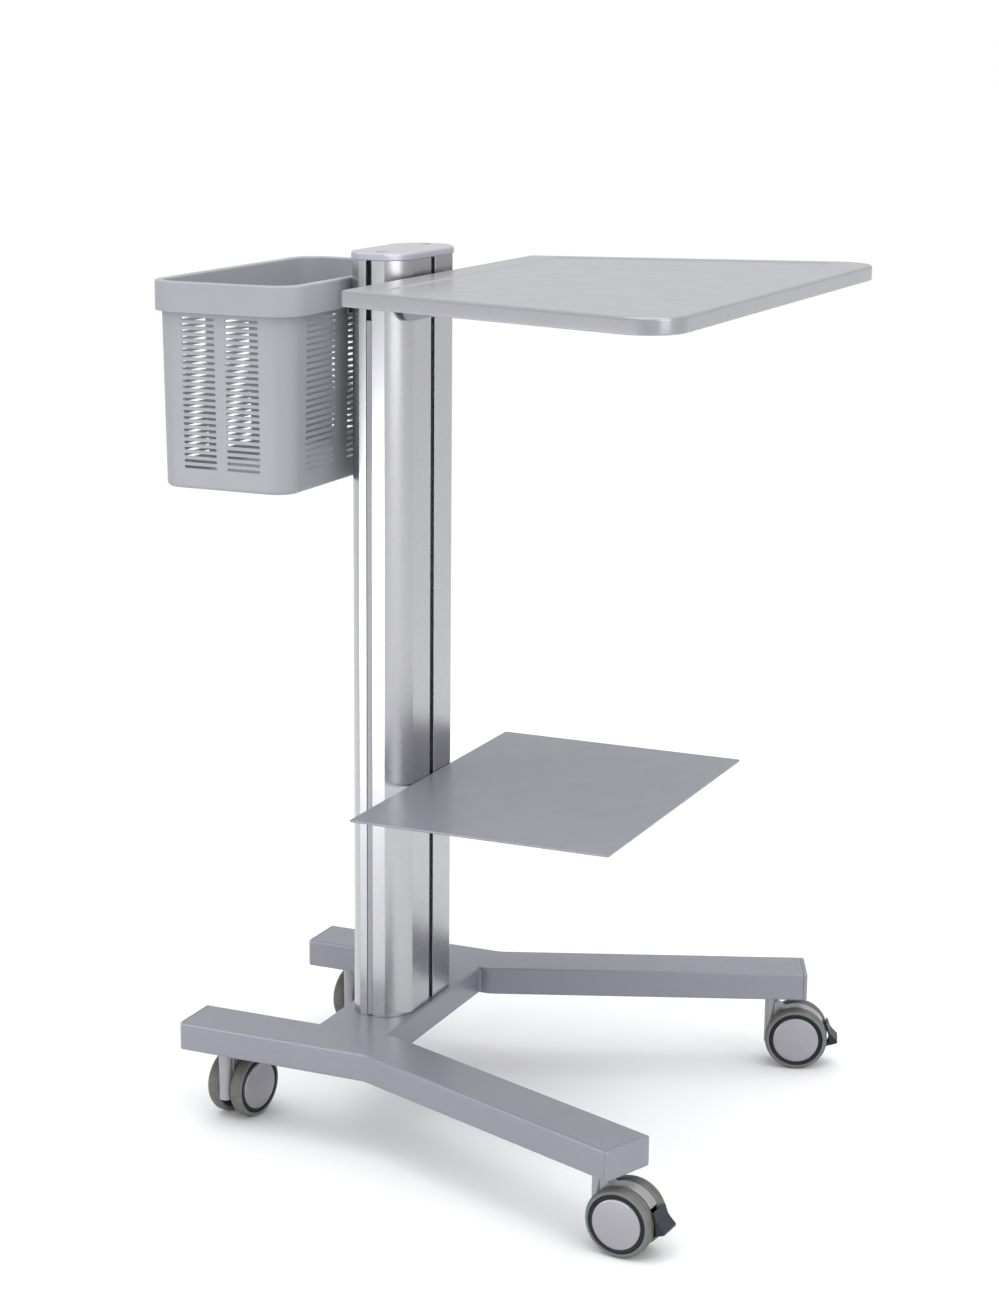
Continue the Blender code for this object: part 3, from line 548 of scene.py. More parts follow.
def build_leg(side):
    """Mitred tube with a moulded cap at each end."""
    splay = Vector((side * math.sin(LEG_SPLAY), -math.cos(LEG_SPLAY)))
    splay_out = Vector((side * math.cos(LEG_SPLAY), math.sin(LEG_SPLAY)))
    square_out = Vector((side, 0.0))
    rearward = Vector((0.0, 1.0))
    miter_out = (splay_out + square_out).normalized() / math.cos(LEG_SPLAY / 2)
    bend = Vector((side * LEG_OUTER_X, LEG_BEND_Y))
    half = TUBE_WIDTH / 2
    rear = Vector((side * (LEG_OUTER_X - half), LEG_REAR_Y))
    front = bend + splay * LEG_FRONT_LENGTH - splay_out * half
    corner = bend - miter_out * half
    seam = 0.0004
    loops = rounded_end(rear - rearward * (CAP_REAR + seam), square_out, rearward, 0.0004, 0.0004)[::-1]
    for k in range(7):
        t = k / 6
        origin = corner + Vector((0.0, BEND_ROUND * (1 - t) ** 2)) + splay * BEND_ROUND * t ** 2
        loops.append(tube_loop(origin, miter_out))
    loops += rounded_end(front - splay * (CAP_FRONT + seam), splay_out, splay, 0.0004, 0.0004)
    name = "left" if side < 0 else "right"
    add_piece(f"base_tube_{name}", loft(loops), PAINT, "base", [f"leg_{name}"])
    build_end_cap(f"tube_cap_{name}_front", f"leg_{name}_front_cap", front, splay_out, splay, CAP_FRONT)
    build_end_cap(f"tube_cap_{name}_rear", f"leg_{name}_rear_cap", rear, square_out, rearward, CAP_REAR)


def weld_bead(start, end, radius):
    """Ground weld bead with a faint ripple, tapered at both ends."""
    along = end - start
    length = along.length
    along.normalize()
    across = along.orthogonal().normalized()
    other = along.cross(across)
    count = max(12, round(length / 0.0012))
    loops = []
    for i in range(count + 1):
        t = i / count
        swell = math.sin(math.pi / 2 * min(1.0, max(0.06, 10 * min(t, 1 - t))))
        size = radius * swell * (1 + 0.07 * math.sin(i * 2.1))
        centre = start + along * length * t
        loops.append([centre + across * size * math.cos(a) + other * size * math.sin(a)
                      for a in (math.pi * 2 * k / 12 for k in range(12))])
    return loft(loops)


def build_cross_member():
    """Wide tube between the legs, with the weld beads that hold it."""
    low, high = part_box("cross_member")
    middle_y, half_y = (low.y + high.y) / 2, (high.y - low.y) / 2
    sunk = 0.00004                   # keeps its faces from lying in the legs' faces
    foot, top = low.z + sunk, high.z - sunk
    corners = [(-half_y, foot), (half_y, foot), (half_y, top), (-half_y, top)]
    section = filleted(corners, TUBE_CORNER, steps=5)
    loops = [[Vector((x, middle_y + u, z)) for u, z in section]
             for x in (low.x - WELD_SINK, low.x * 0.5, high.x * 0.5, high.x + WELD_SINK)]
    add_piece("base_cross_tube", loft(loops), PAINT, "base", ["cross_member"])
    for side, x in (("left", low.x - GAP), ("right", high.x + GAP)):
        for face, y in (("front", low.y), ("rear", high.y)):
            bead = weld_bead(Vector((x, y, low.z + 0.001)), Vector((x, y, high.z - 0.0025)), 0.0021)
            add_piece(f"weld_{side}_{face}", bead, PAINT, "base")
        under = weld_bead(Vector((x, low.y + 0.001, low.z)), Vector((x, high.y - 0.001, low.z)), 0.0016)
        add_piece(f"weld_{side}_under", under, PAINT, "base")


# ---------------------------------------------------------------- column

COLUMN_LOW, COLUMN_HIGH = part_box("column")
COLUMN_HALF_X = COLUMN_HIGH.x
COLUMN_FRONT = COLUMN_LOW.y
COLUMN_REAR = COLUMN_HIGH.y
COLUMN_FLAT_X = 0.050
CORNER_DEPTH = 0.021
CORNER_BULGE = 0.003
SIDE_SLOT_Y = COLUMN_Y + 0.006
FACE_SLOT_HALF = 0.005
SIDE_SLOT_HALF = 0.0033
SLOT_LIP = 0.003
SLOT_POCKET_HALF = 0.009
SLOT_DEPTH = 0.010
COLUMN_WALL = 0.003


def slot_points(centre, along, inward, half):
    """T-slot entered from a face, in the order that the outline runs."""
    steps = [(half, 0.0), (half, SLOT_LIP), (SLOT_POCKET_HALF, SLOT_LIP), (SLOT_POCKET_HALF, SLOT_DEPTH)]
    steps = [(-s, d) for s, d in steps] + steps[::-1]
    return [tuple(Vector(centre) + Vector(along) * s + Vector(inward) * d) for s, d in steps]


def column_outline(margin=0.0, slots=True):
    """Plan outline of the extrusion, with small radii where its faces meet."""
    half_x, front, rear = COLUMN_HALF_X + margin, COLUMN_FRONT - margin, COLUMN_REAR + margin
    faces = [((0.0, front), (1, 0), (0, 1), FACE_SLOT_HALF),
             ((half_x, SIDE_SLOT_Y), (0, 1), (-1, 0), SIDE_SLOT_HALF),
             ((0.0, rear), (-1, 0), (0, -1), FACE_SLOT_HALF),
             ((-half_x, SIDE_SLOT_Y), (0, -1), (1, 0), SIDE_SLOT_HALF)]
    panels = [((COLUMN_FLAT_X, front), (half_x, front + CORNER_DEPTH)),
              ((half_x, rear - CORNER_DEPTH), (COLUMN_FLAT_X, rear)),
              ((-COLUMN_FLAT_X, rear), (-half_x, rear - CORNER_DEPTH)),
              ((-half_x, front + CORNER_DEPTH), (-COLUMN_FLAT_X, front))]
    points, radii = [], []
    for (centre, along, inward, half), (start, end) in zip(faces, panels):
        if slots:
            points += slot_points(centre, along, inward, half)
            radii += [0.0006] + [0.0003] * 6 + [0.0006]
        run = Vector(end) - Vector(start)
        outward = Vector((run.y, -run.x)).normalized()
        steps = 12
        for k in range(steps + 1):
            t = k / steps
            points.append(tuple(Vector(start) + run * t + outward * 4 * CORNER_BULGE * t * (1 - t)))
            radii.append(0.0012 if k in (0, steps) else 0.0)
    return filleted(points, radii, steps=3)


def column_void():
    """Hollow middle of the extrusion, stepped in behind the front and rear slots."""
    slot_wall = SLOT_DEPTH + COLUMN_WALL
    web_x = SLOT_POCKET_HALF + COLUMN_WALL
    end_x = COLUMN_HALF_X - slot_wall
    corner_x = COLUMN_FLAT_X - 0.001
    halves = []
    for face, inward in ((COLUMN_REAR, -1), (COLUMN_FRONT, 1)):
        quarter = [(end_x, face + inward * (CORNER_DEPTH - 0.004)), (corner_x, face + inward * COLUMN_WALL),
                   (web_x, face + inward * COLUMN_WALL), (web_x, face + inward * slot_wall)]
        halves.append(quarter + [(-x, y) for x, y in reversed(quarter)])
    return filleted(halves[0] + halves[1][::-1], 0.001, steps=2)


def build_column():
    """Hollow extrusion: its outline and its void joined by flat ends."""
    builder = bmesh.new()
    heights = (COLUMN_LOW.z, COLUMN_HIGH.z)
    rims = {z: [] for z in heights}
    for outline in (column_outline(), column_void()):
        rings = [[builder.verts.new((x, y, z)) for x, y in outline] for z in heights]
        for i in range(len(outline)):
            j = (i + 1) % len(outline)
            builder.faces.new((rings[0][i], rings[0][j], rings[1][j], rings[1][i]))
            for z, loop in zip(heights, rings):
                rims[z].append(builder.edges.get((loop[i], loop[j])))
    for edges in rims.values():
        bmesh.ops.triangle_fill(builder, use_beauty=True, use_dissolve=False, edges=edges)
    add_piece("column_extrusion", builder, ALUMINIUM, "base", ["column"], sharp_angle=24.0)


def build_slot_covers():
    """Grey strips that close the side slots from the foot up to the tray."""
    low, high = COLUMN_LOW.z + 0.001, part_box("tray_bracket")[0].z
    for side, word in ((-1, "left"), (1, "right")):
        outer, inner = COLUMN_HALF_X - 0.0007, COLUMN_HALF_X - SLOT_LIP - 0.0012
        half = SIDE_SLOT_HALF - 0.0003
        wide = SIDE_SLOT_HALF + 0.0018
        lip = COLUMN_HALF_X - SLOT_LIP - 0.0002
        corners = [(outer, -half), (outer, half), (lip, half), (lip, wide), (inner, wide), (inner, -wide),
                   (lip, -wide), (lip, -half)]
        outline = filleted(corners, [0.0005, 0.0005] + [0.0] * 6, steps=3)
        strip = loft([[Vector((side * x, SIDE_SLOT_Y + y, z)) for x, y in outline] for z in (low, high)])
        add_piece(f"slot_cover_{word}", strip, SLOT_COVER, "base")


def build_column_cap():
    """Lid with a rounded edge and a faint crown."""
    low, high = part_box("column_cap")
    margin = high.x - COLUMN_HALF_X
    top_round, foot_round = 0.0030, 0.0006
    steps = [(margin - foot_round, low.z), (margin, low.z + foot_round)]
    steps += [(margin - top_round * a, high.z - top_round * b) for a, b in quarter_turn(6)]
    steps += [(-0.012, high.z + 0.0003), (-0.024, high.z + 0.0004)]
    loops = [at_height(column_outline(inset, slots=False), z) for inset, z in steps]
    add_piece("column_top_cap", loft(loops), CAP_SILVER, "base", ["column_cap"])


# ---------------------------------------------------------------- tray

TRAY_LOW, TRAY_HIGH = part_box("tray")
TRAY_REAR_HALF = 0.245
TRAY_FRONT_HALF = 0.360
TRAY_SKIN = 0.003
RECESS_DEPTH = 0.0012
RECESS_SIDE, RECESS_FRONT, RECESS_REAR = 0.018, 0.038, 0.038
TRAY_FRONT_RADIUS, TRAY_REAR_RADIUS, RECESS_RADIUS = 0.042, 0.006, 0.020


def tray_outline(side, front, rear, front_radius, rear_radius):
    """Plan outline of the tray, moved in by the given distances."""
    rear_y, front_y = TRAY_HIGH.y, TRAY_LOW.y
    slope = (TRAY_FRONT_HALF - TRAY_REAR_HALF) / (rear_y - front_y)
    side_inset = side * math.hypot(1.0, slope)
    rear_x = TRAY_REAR_HALF + slope * rear - side_inset
    front_x = TRAY_FRONT_HALF - slope * front - side_inset
    corners = [(-front_x, front_y + front), (front_x, front_y + front), (rear_x, rear_y - rear),
               (-rear_x, rear_y - rear)]
    return filleted(corners, [front_radius, front_radius, rear_radius, rear_radius], steps=14)


def tray_rim(inset, z):
    return at_height(tray_outline(inset, inset, inset, TRAY_FRONT_RADIUS - inset,
                                  max(TRAY_REAR_RADIUS - inset, 0.0008)), z)


def tray_recess(spread, z):
    """Loop round the recess, moved in by a distance."""
    return at_height(tray_outline(RECESS_SIDE + spread, RECESS_FRONT + spread, RECESS_REAR + spread,
                                  RECESS_RADIUS, RECESS_RADIUS), z)


def build_tray():
    """Moulded top with a bullnose edge, a down-turned skirt and a shallow recess."""
    top, bottom = TRAY_HIGH.z, TRAY_LOW.z
    floor = top - RECESS_DEPTH
    round_top, round_foot = 0.0034, 0.0016
    loops = [tray_rim(TRAY_SKIN, floor - TRAY_SKIN), tray_rim(TRAY_SKIN, bottom + 0.0004),
             tray_rim(TRAY_SKIN - 0.0004, bottom)]
    loops += [tray_rim(round_foot * b, bottom + round_foot * a) for a, b in quarter_turn(3)]
    loops += [tray_rim(round_top * a, top - round_top * b) for a, b in quarter_turn(6)]
    for k in range(7):
        t = k / 6
        loops.append(tray_recess(-0.0018 + 0.0052 * t, top - RECESS_DEPTH * (3 * t * t - 2 * t ** 3)))
    add_piece("tray_top", loft(loops), TRAY_SILVER, "tray_carriage", ["tray"])


def build_tray_ribs():
    """Lattice of ribs under the tray's skin."""
    builder = bmesh.new()
    top = TRAY_HIGH.z - RECESS_DEPTH - TRAY_SKIN + 0.0002
    depth = top - TRAY_LOW.z - 0.0012
    columns, rows, clearance = 9, 6, TRAY_SKIN + 0.001
    rear_y, front_y = TRAY_HIGH.y - clearance - 0.004, TRAY_LOW.y + clearance + 0.030
    slope = (TRAY_FRONT_HALF - TRAY_REAR_HALF) / (TRAY_HIGH.y - TRAY_LOW.y)
    points = []
    for j in range(rows + 1):
        y = front_y + (rear_y - front_y) * j / rows
        half = TRAY_REAR_HALF + slope * (TRAY_HIGH.y - y) - clearance - 0.002
        points.append([builder.verts.new((-half + 2 * half * i / columns, y, top))
                       for i in range(columns + 1)])
    cells = [builder.faces.new((points[j][i], points[j][i + 1], points[j + 1][i + 1], points[j + 1][i]))
             for j in range(rows) for i in range(columns)]
    bmesh.ops.inset_individual(builder, faces=cells, thickness=0.0009)
    bmesh.ops.delete(builder, geom=cells, context="FACES")
    upper = list(builder.faces)
    lower = bmesh.ops.extrude_face_region(builder, geom=upper)["geom"]
    bmesh.ops.translate(builder, verts=[v for v in lower if isinstance(v, bmesh.types.BMVert)],
                        vec=(0.0, 0.0, -depth))
    add_piece("tray_ribs", builder, TRAY_SILVER, "tray_carriage")


# ---------------------------------------------------------------- brackets and shelf

BRACKET_PLATE = 0.004
BRACKET_REACH = 0.200
BRACKET_ARM_WIDTH = 0.016
BRACKET_TIP_HEIGHT = 0.008
BRACKET_ARM_HEIGHT = 0.018
TRAY_BRACKET_TAPER = 0.024


def bracket_arm(x_middle, rear, top):
    """Arm that gets shallower towards its rounded tip."""
    tip = rear + BRACKET_REACH
    corners = [(rear, top - BRACKET_ARM_HEIGHT), (tip, top - BRACKET_TIP_HEIGHT), (tip, top), (rear, top)]
    outline = filleted(corners, [0.0, 0.005, 0.001, 0.0], steps=4)
    return moved(soften(side_prism(outline, BRACKET_ARM_WIDTH / 2), 0.0010, 2, 50), x_middle, 0.0, 0.0)


def build_bracket(name, node, taper, arm_x, corner, material, body):
    """Plate on the column's front with two arms under the load."""
    low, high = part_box(node)
    rear = high.y
    half = high.x
    corners = [(-half + taper, low.z), (half - taper, low.z), (half, high.z), (-half, high.z)]
    outline = filleted(corners, [corner, corner, 0.0015, 0.0015], steps=7)
    plate = loft([[Vector((x, y, z)) for x, z in outline] for y in (rear - BRACKET_PLATE, rear)])
    bracket = soften(plate, 0.0010, 3, 60)
    for side in (-1, 1):
        bracket = combine(bracket, bracket_arm(side * arm_x, -rear, high.z))
    for position in ("upper", "lower"):
        screw = middle_of(f"{name}_screw_{position}")
        hole = moved(turned([(0.0034, -0.01), (0.0034, 0.01)], 24, "Y"), screw.x, rear, screw.z)
        bracket = combine(bracket, hole, "DIFFERENCE")
    add_piece(f"{name}_support_bracket", bracket, material, body, [node], sharp_angle=38.0)


def build_clamp_screw(node, body):
    """Socket-head screw with its sliding nut in the column's slot."""
    low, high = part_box(node)
    centre = (low + high) / 2
    head_r, shank_r, nut_r = 0.0055, 0.003, high.x
    head_back = low.y + 0.0045
    nut_front = high.y - 0.003
    socket_r, socket_depth = 0.0026, 0.0026
    hexagon = []
    for i in range(24):
        angle = 2 * math.pi * i / 24
        corner = math.cos(math.pi / 6) / math.cos((angle + math.pi / 6) % (math.pi / 3) - math.pi / 6)
        hexagon.append((socket_r * corner * math.cos(angle), socket_r * corner * math.sin(angle)))
    loops = [[Vector((a, low.y + socket_depth, b)) for a, b in hexagon],
             [Vector((a, low.y + 0.0002, b)) for a, b in hexagon]]
    profile = [(0.0036, low.y), (head_r - 0.0008, low.y), (head_r - 0.0002, low.y + 0.0003),
               (head_r, low.y + 0.0009), (head_r, head_back), (shank_r, head_back), (shank_r, nut_front),
               (nut_r - 0.0004, nut_front), (nut_r, nut_front + 0.0004), (nut_r, high.y - 0.0004),
               (nut_r - 0.0004, high.y)]
    loops += [ring(radius, 24, y, "Y") for radius, y in profile]
    screw = moved(loft(loops), centre.x, 0.0, centre.z)
    add_piece(f"{node}_socket_head", screw, ZINC, body, [node], sharp_angle=50.0)


def build_shelf():
    low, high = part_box("printer_shelf")
    outline = filleted([(low.x, low.y), (high.x, low.y), (high.x, high.y), (low.x, high.y)],
                       [0.003, 0.003, 0.0015, 0.0015], steps=5)
    edge = 0.0006
    steps = [(edge, low.z), (0.0, low.z + edge), (0.0, high.z - edge), (edge * 0.3, high.z - edge * 0.3),
             (edge, high.z)]
    loops = []
    centre = Vector(((low.x + high.x) / 2, (low.y + high.y) / 2))
    for inset, z in steps:
        loop = []
        for x, y in outline:
            away = Vector((x, y)) - centre
            loop.append(Vector((x - math.copysign(inset, away.x), y - math.copysign(inset, away.y), z)))
        loops.append(loop)
    add_piece("printer_shelf_plate", loft(loops), PAINT, "shelf_carriage", ["printer_shelf"],
              sharp_angle=60.0)


# ---------------------------------------------------------------- basket

BASKET_LOW, BASKET_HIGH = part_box("basket")
BASKET_RADIUS = 0.036
BASKET_THICKNESS = 0.0021
RIM_HEIGHT = 0.033
RIM_WIDTH = 0.0068               # from the rim's outer face to the wall's outer face, at the top
BASKET_LEAN = 0.0035
SLOT_ROWS = 25
SLOT_PITCH = 0.00671
SLOT_TOP = 0.0395                # the first row's middle, below the rim's top
SLOT_HEIGHT = 0.0030
SLOT_CORNER = 0.0009
SIDE_SLOTS = [(-0.0465, -0.0065), (0.0065, 0.0465)]
FACE_SLOTS = [(-0.134, -0.064), (-0.035, 0.035), (0.064, 0.134)]


def basket_stations():
    """Points round the basket as (corner centre, outward direction, tag of the strip that follows)."""
    x = BASKET_HIGH.x - BASKET_RADIUS
    middle_y = (BASKET_LOW.y + BASKET_HIGH.y) / 2
    y = (BASKET_HIGH.y - BASKET_LOW.y) / 2 - BASKET_RADIUS
    walls = [(Vector((0, middle_y - y)), Vector((1, 0)), x, FACE_SLOTS),
             (Vector((x, middle_y)), Vector((0, 1)), y, SIDE_SLOTS),
             (Vector((0, middle_y + y)), Vector((-1, 0)), x, FACE_SLOTS),
             (Vector((-x, middle_y)), Vector((0, -1)), y, SIDE_SLOTS)]
    stations = []
    for origin, along, half, slots in walls:
        outward = Vector((along.y, -along.x))
        marks = [(-half, None)]
        for start, end in slots:
            marks += [(start, "start"), (start + SLOT_CORNER, "middle"), ((start + end) / 2, "middle"),
                      (end - SLOT_CORNER, "end"), (end, None)]
        marks.append((half, None))
        stations += [(origin + along * distance, outward, tag) for distance, tag in marks]
        corner = origin + along * half
        for k in range(1, 10):
            stations.append((corner, Matrix.Rotation(math.pi / 2 * k / 10, 2) @ outward, None))
    return stations


def wall_inset(z):
    """How far the wall's outer face stands inside the rim's: the sides lean in downwards."""
    return RIM_WIDTH + BASKET_LEAN * (BASKET_HIGH.z - z) / (BASKET_HIGH.z - BASKET_LOW.z)


def basket_rows():
    """Rows from the floor up the inside and over the rim, as (inset, height, tag of the band above)."""
    floor = BASKET_LOW.z + BASKET_THICKNESS
    top = BASKET_HIGH.z
    turn = 0.0026
    rows = []
    for a, b in quarter_turn(5):
        z = floor + turn * a
        rows.append((wall_inset(z) + BASKET_THICKNESS + turn * b, z, None))
    for row in range(SLOT_ROWS)[::-1]:
        middle = top - SLOT_TOP - SLOT_PITCH * row
        low, high = middle - SLOT_HEIGHT / 2, middle + SLOT_HEIGHT / 2
        for z, tag in ((low, "low"), (low + SLOT_CORNER, "middle"), (high - SLOT_CORNER, "high"),
                       (high, None)):
            rows.append((wall_inset(z) + BASKET_THICKNESS, z, tag))
    inner = wall_inset(top) + BASKET_THICKNESS
    inner_turn, outer_turn = 0.0024, 0.0026
    rows.append((inner, top - 0.012, None))
    rows += [(inner - inner_turn * a, top - inner_turn * b, None) for a, b in quarter_turn(4)]
    rows += [(outer_turn * b, top - outer_turn * a, None) for a, b in quarter_turn(4)]
    return rows + [(0.0, top - RIM_HEIGHT + 0.0008, None), (0.0003, top - RIM_HEIGHT, None)]


# Which corner of a quad (start/low, end/low, end/high, start/high) stays solid at a slot's rounded ends
SLOT_ENDS = {("start", "low"): (0, 1, 3), ("end", "low"): (0, 1, 2), ("end", "high"): (1, 2, 3),
             ("start", "high"): (0, 2, 3)}


def build_basket():
    """Slotted bin from one thick sheet, whose rim turns over outwards."""
    builder = bmesh.new()
    stations = basket_stations()
    rows = basket_rows()
    grid = []
    for inset, z, _ in rows:
        loop = []
        for centre, outward, _ in stations:
            place = centre + outward * (BASKET_RADIUS - inset)
            loop.append(builder.verts.new((place.x, place.y, z)))
        grid.append(loop)
    builder.faces.new(grid[0])
    count = len(stations)
    for i in range(len(rows) - 1):
        band = rows[i][2]
        for j in range(count):
            k = (j + 1) % count
            strip = stations[j][2]
            quad = (grid[i][j], grid[i][k], grid[i + 1][k], grid[i + 1][j])
            if not (band and strip):
                builder.faces.new(quad)
            elif (strip, band) in SLOT_ENDS:
                builder.faces.new([quad[n] for n in SLOT_ENDS[(strip, band)]])
    loose = [v for v in builder.verts if not v.link_faces]
    bmesh.ops.delete(builder, geom=loose, context="VERTS")
    piece = add_piece("slotted_basket", builder, BASKET_PLASTIC, "basket_lift", ["basket"])
    even_shading = piece.modifiers["even_shading"]
    piece.modifiers.remove(even_shading)
    thick = piece.modifiers.new("thickness", "SOLIDIFY")
    thick.thickness = BASKET_THICKNESS
    thick.offset = -1.0
    thick.use_even_offset = False
    rounding = piece.modifiers.new("edges", "BEVEL")
    rounding.width = 0.0003
    rounding.segments = 1
    rounding.limit_method = "ANGLE"
    rounding.angle_limit = math.radians(50)
    piece.modifiers.new("even_shading", "WEIGHTED_NORMAL").keep_sharp = True


def build_hanger():
    """Folded plate between the column's rear face and the basket's rim."""
    low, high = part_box("basket_hanger")
    plate, tongue = 0.0025, 0.0018
    back, front = -low.y, -(low.y + plate)
    tongue_far = -high.y
    tongue_near = tongue_far + tongue
    step = BASKET_HIGH.z - RIM_HEIGHT - 0.006
    tongue_top = BASKET_HIGH.z - 0.0029
    corners = [(back, low.z), (back, high.z), (front, high.z), (front, step), (tongue_near, step),
               (tongue_near, tongue_top), (tongue_far, tongue_top), (tongue_far, step - plate),
               (front, step - plate), (front, low.z)]
    radii = [0.0006] * 3 + [0.0009, 0.0003] + [0.0006] * 2 + [0.0018, 0.0009, 0.0006]
    outline = filleted(corners, radii, steps=3)
    add_piece("basket_wall_hanger", soften(side_prism(outline, high.x), 0.0004, 2, 60), PAINT, "base",
              ["basket_hanger"])


def build_clip(node):
    """C-shaped cable clip with rounded arms and a flared mouth."""
    low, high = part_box(node)
    wall = 0.002
    mouth = high.x - 0.0035
    corners = [(high.x, low.y), (high.x, low.y + wall), (low.x + wall, low.y + wall),
               (low.x + wall, high.y - wall), (mouth, high.y - wall), (mouth, high.y), (low.x, high.y),
               (low.x, low.y)]
    outline = filleted(corners, [0.0004, 0.0009, 0.0018, 0.0018, 0.0009, 0.0009, 0.0036, 0.0006], steps=5)
    clip = soften(loft([at_height(outline, low.z), at_height(outline, high.z)]), 0.0005, 2, 60)
    add_piece(f"{node}_moulding", clip, BASKET_PLASTIC, "base", [node])


# ---------------------------------------------------------------- casters

WHEEL_SPACE = 0.0165
WHEEL_WIDTH = 0.0165
HUB_CAP_R = 0.0272
CORE_R = 0.0318
HOOD_THICKNESS = 0.0155
HOOD_R = 0.0360
BOSS_R = 0.0078
BOSS_BOTTOM = 0.026
AXLE_R = 0.004
STEM_R = 0.005
STEM_BORE_FOOT = 0.051           # where the hood's bore for the stem ends


# Side outlines of the pedal and of the tongue that carries it, (forward, up) from the axle
PEDAL_PIVOT = (0.0235, 0.0040)
PEDAL_ARM = [(0.0190, -0.0035), (0.0240, -0.0115), (0.0330, -0.0145), (0.0370, -0.0130), (0.0360, -0.0085),
             (0.0300, -0.0055), (0.0275, 0.0085), (0.0205, 0.0095)]
PEDAL_LEVER = [(0.0340, -0.0145), (0.0440, -0.0090), (0.0440, 0.0022), (0.0410, 0.0070), (0.0376, 0.0165),
               (0.0353, 0.0165), (0.0389, 0.0050), (0.0396, -0.0030), (0.0378, -0.0080), (0.0325, -0.0095)]
PEDAL_STEP = [(0.0405, -0.0085), (0.0500, -0.0052), (0.0500, -0.0025), (0.0437, 0.0040), (0.0411, 0.0072),
              (0.0377, 0.0166), (0.0352, 0.0166), (0.0388, 0.0050), (0.0397, -0.0030)]
PEDAL_WIDTH = 0.0130
PEDAL_STEP_WIDTH = 0.0290
PEDAL_PIN_R = 0.0016
PEDAL_PIN_HALF = 0.0062
TONGUE = [(0.0100, -0.0040), (0.0255, 0.0005), (0.0275, 0.0040), (0.0255, 0.0075), (0.0100, 0.0080)]
TONGUE_HALF = 0.0024
FORK_HALF = 0.0028
FORK_DEPTH = 0.0295


def shifted(outline, forward, up):
    return [(forward + a, up + b) for a, b in outline]


def pedal_bar(radius, half_length, trail, axle_height):
    """Bar along the pedal's pivot."""
    forward, up = shifted([PEDAL_PIVOT], trail, axle_height)[0]
    return moved(turned([(radius, -half_length), (radius, half_length)], 24, "X"), 0.0, -forward, up)


def caster_place(name):
    """Matrix of a caster: origin on the floor under its stem, -Y towards its axle, X along the axle."""
    stem, axle = middle_of(f"{name}_caster_stem"), middle_of(f"{name}_caster_axle")
    heading = math.atan2(axle.x - stem.x, stem.y - axle.y)
    trail = math.hypot(axle.x - stem.x, axle.y - stem.y)
    return Matrix.Translation((stem.x, stem.y, 0.0)) @ Matrix.Rotation(heading, 4, "Z"), trail, axle.z


def hood_outline(trail, axle_height):
    """Side outline of the web between the wheels, from the swivel axis forward and up."""
    corners = [(0.004, axle_height - 0.012), (0.004, 0.0805)]
    arc = 18
    for k in range(arc + 1):
        angle = math.radians(112 - 84 * k / arc)
        corners.append((trail + HOOD_R * math.cos(angle), axle_height + HOOD_R * math.sin(angle)))
    corners += [(trail + 0.0150, axle_height + 0.0135), (trail + 0.0125, axle_height - 0.008),
                (trail, axle_height - 0.0145)]
    radii = [0.002, 0.001, 0.006] + [0.0] * (arc - 1) + [0.0015, 0.003, 0.005, 0.004]
    return filleted(corners, radii, steps=4)


def build_hood(name, place, trail, axle_height):
    """Housing: a boss on the stem, a rounded web between the wheels and, in front, the pedal's pin."""
    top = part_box(f"{name}_caster_hood")[1].z
    boss = turned([(BOSS_R - 0.0012, BOSS_BOTTOM), (BOSS_R - 0.0003, BOSS_BOTTOM + 0.0004),
                   (BOSS_R, BOSS_BOTTOM + 0.0013), (BOSS_R, top - 0.0008), (BOSS_R - 0.0008, top)], 48)
    web = soften(side_prism(hood_outline(trail, axle_height), HOOD_THICKNESS / 2), 0.0038, 5, 60)
    hood = combine(boss, web)
    if name.startswith("front"):
        outline = filleted(shifted(TONGUE, trail, axle_height), 0.0012, steps=3)
        hood = combine(hood, soften(side_prism(outline, TONGUE_HALF), 0.0004, 2, 60))
        hood = combine(hood, pedal_bar(PEDAL_PIN_R, PEDAL_PIN_HALF, trail, axle_height))
    bore = turned([(STEM_R + GAP, STEM_BORE_FOOT), (STEM_R + GAP, top + 0.01)], 32)
    hood = combine(hood, bore, "DIFFERENCE")
    add_piece(f"{name}_swivel_hood", hood, CASTER_SILVER, f"{name}_caster", [f"{name}_caster_hood"],
              place, sharp_angle=32.0)


def build_stem(name, place):
    low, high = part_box(f"{name}_caster_stem")
    flange = size_of(f"{name}_caster_stem").x / 2
    top = LEG_BOTTOM - GAP
    profile = [(STEM_R - 0.0006, low.z), (STEM_R, low.z + 0.0006), (STEM_R, top - 0.0025),
               (flange - 0.0005, top - 0.0025), (flange, top - 0.0020), (flange, top - 0.0005),
               (flange - 0.0005, top), (STEM_R, top), (STEM_R, high.z - 0.0006), (STEM_R - 0.0006, high.z)]
    add_piece(f"{name}_threaded_stem", turned(profile, 48), ZINC, "base", [f"{name}_caster_stem"],
              place, sharp_angle=50.0)


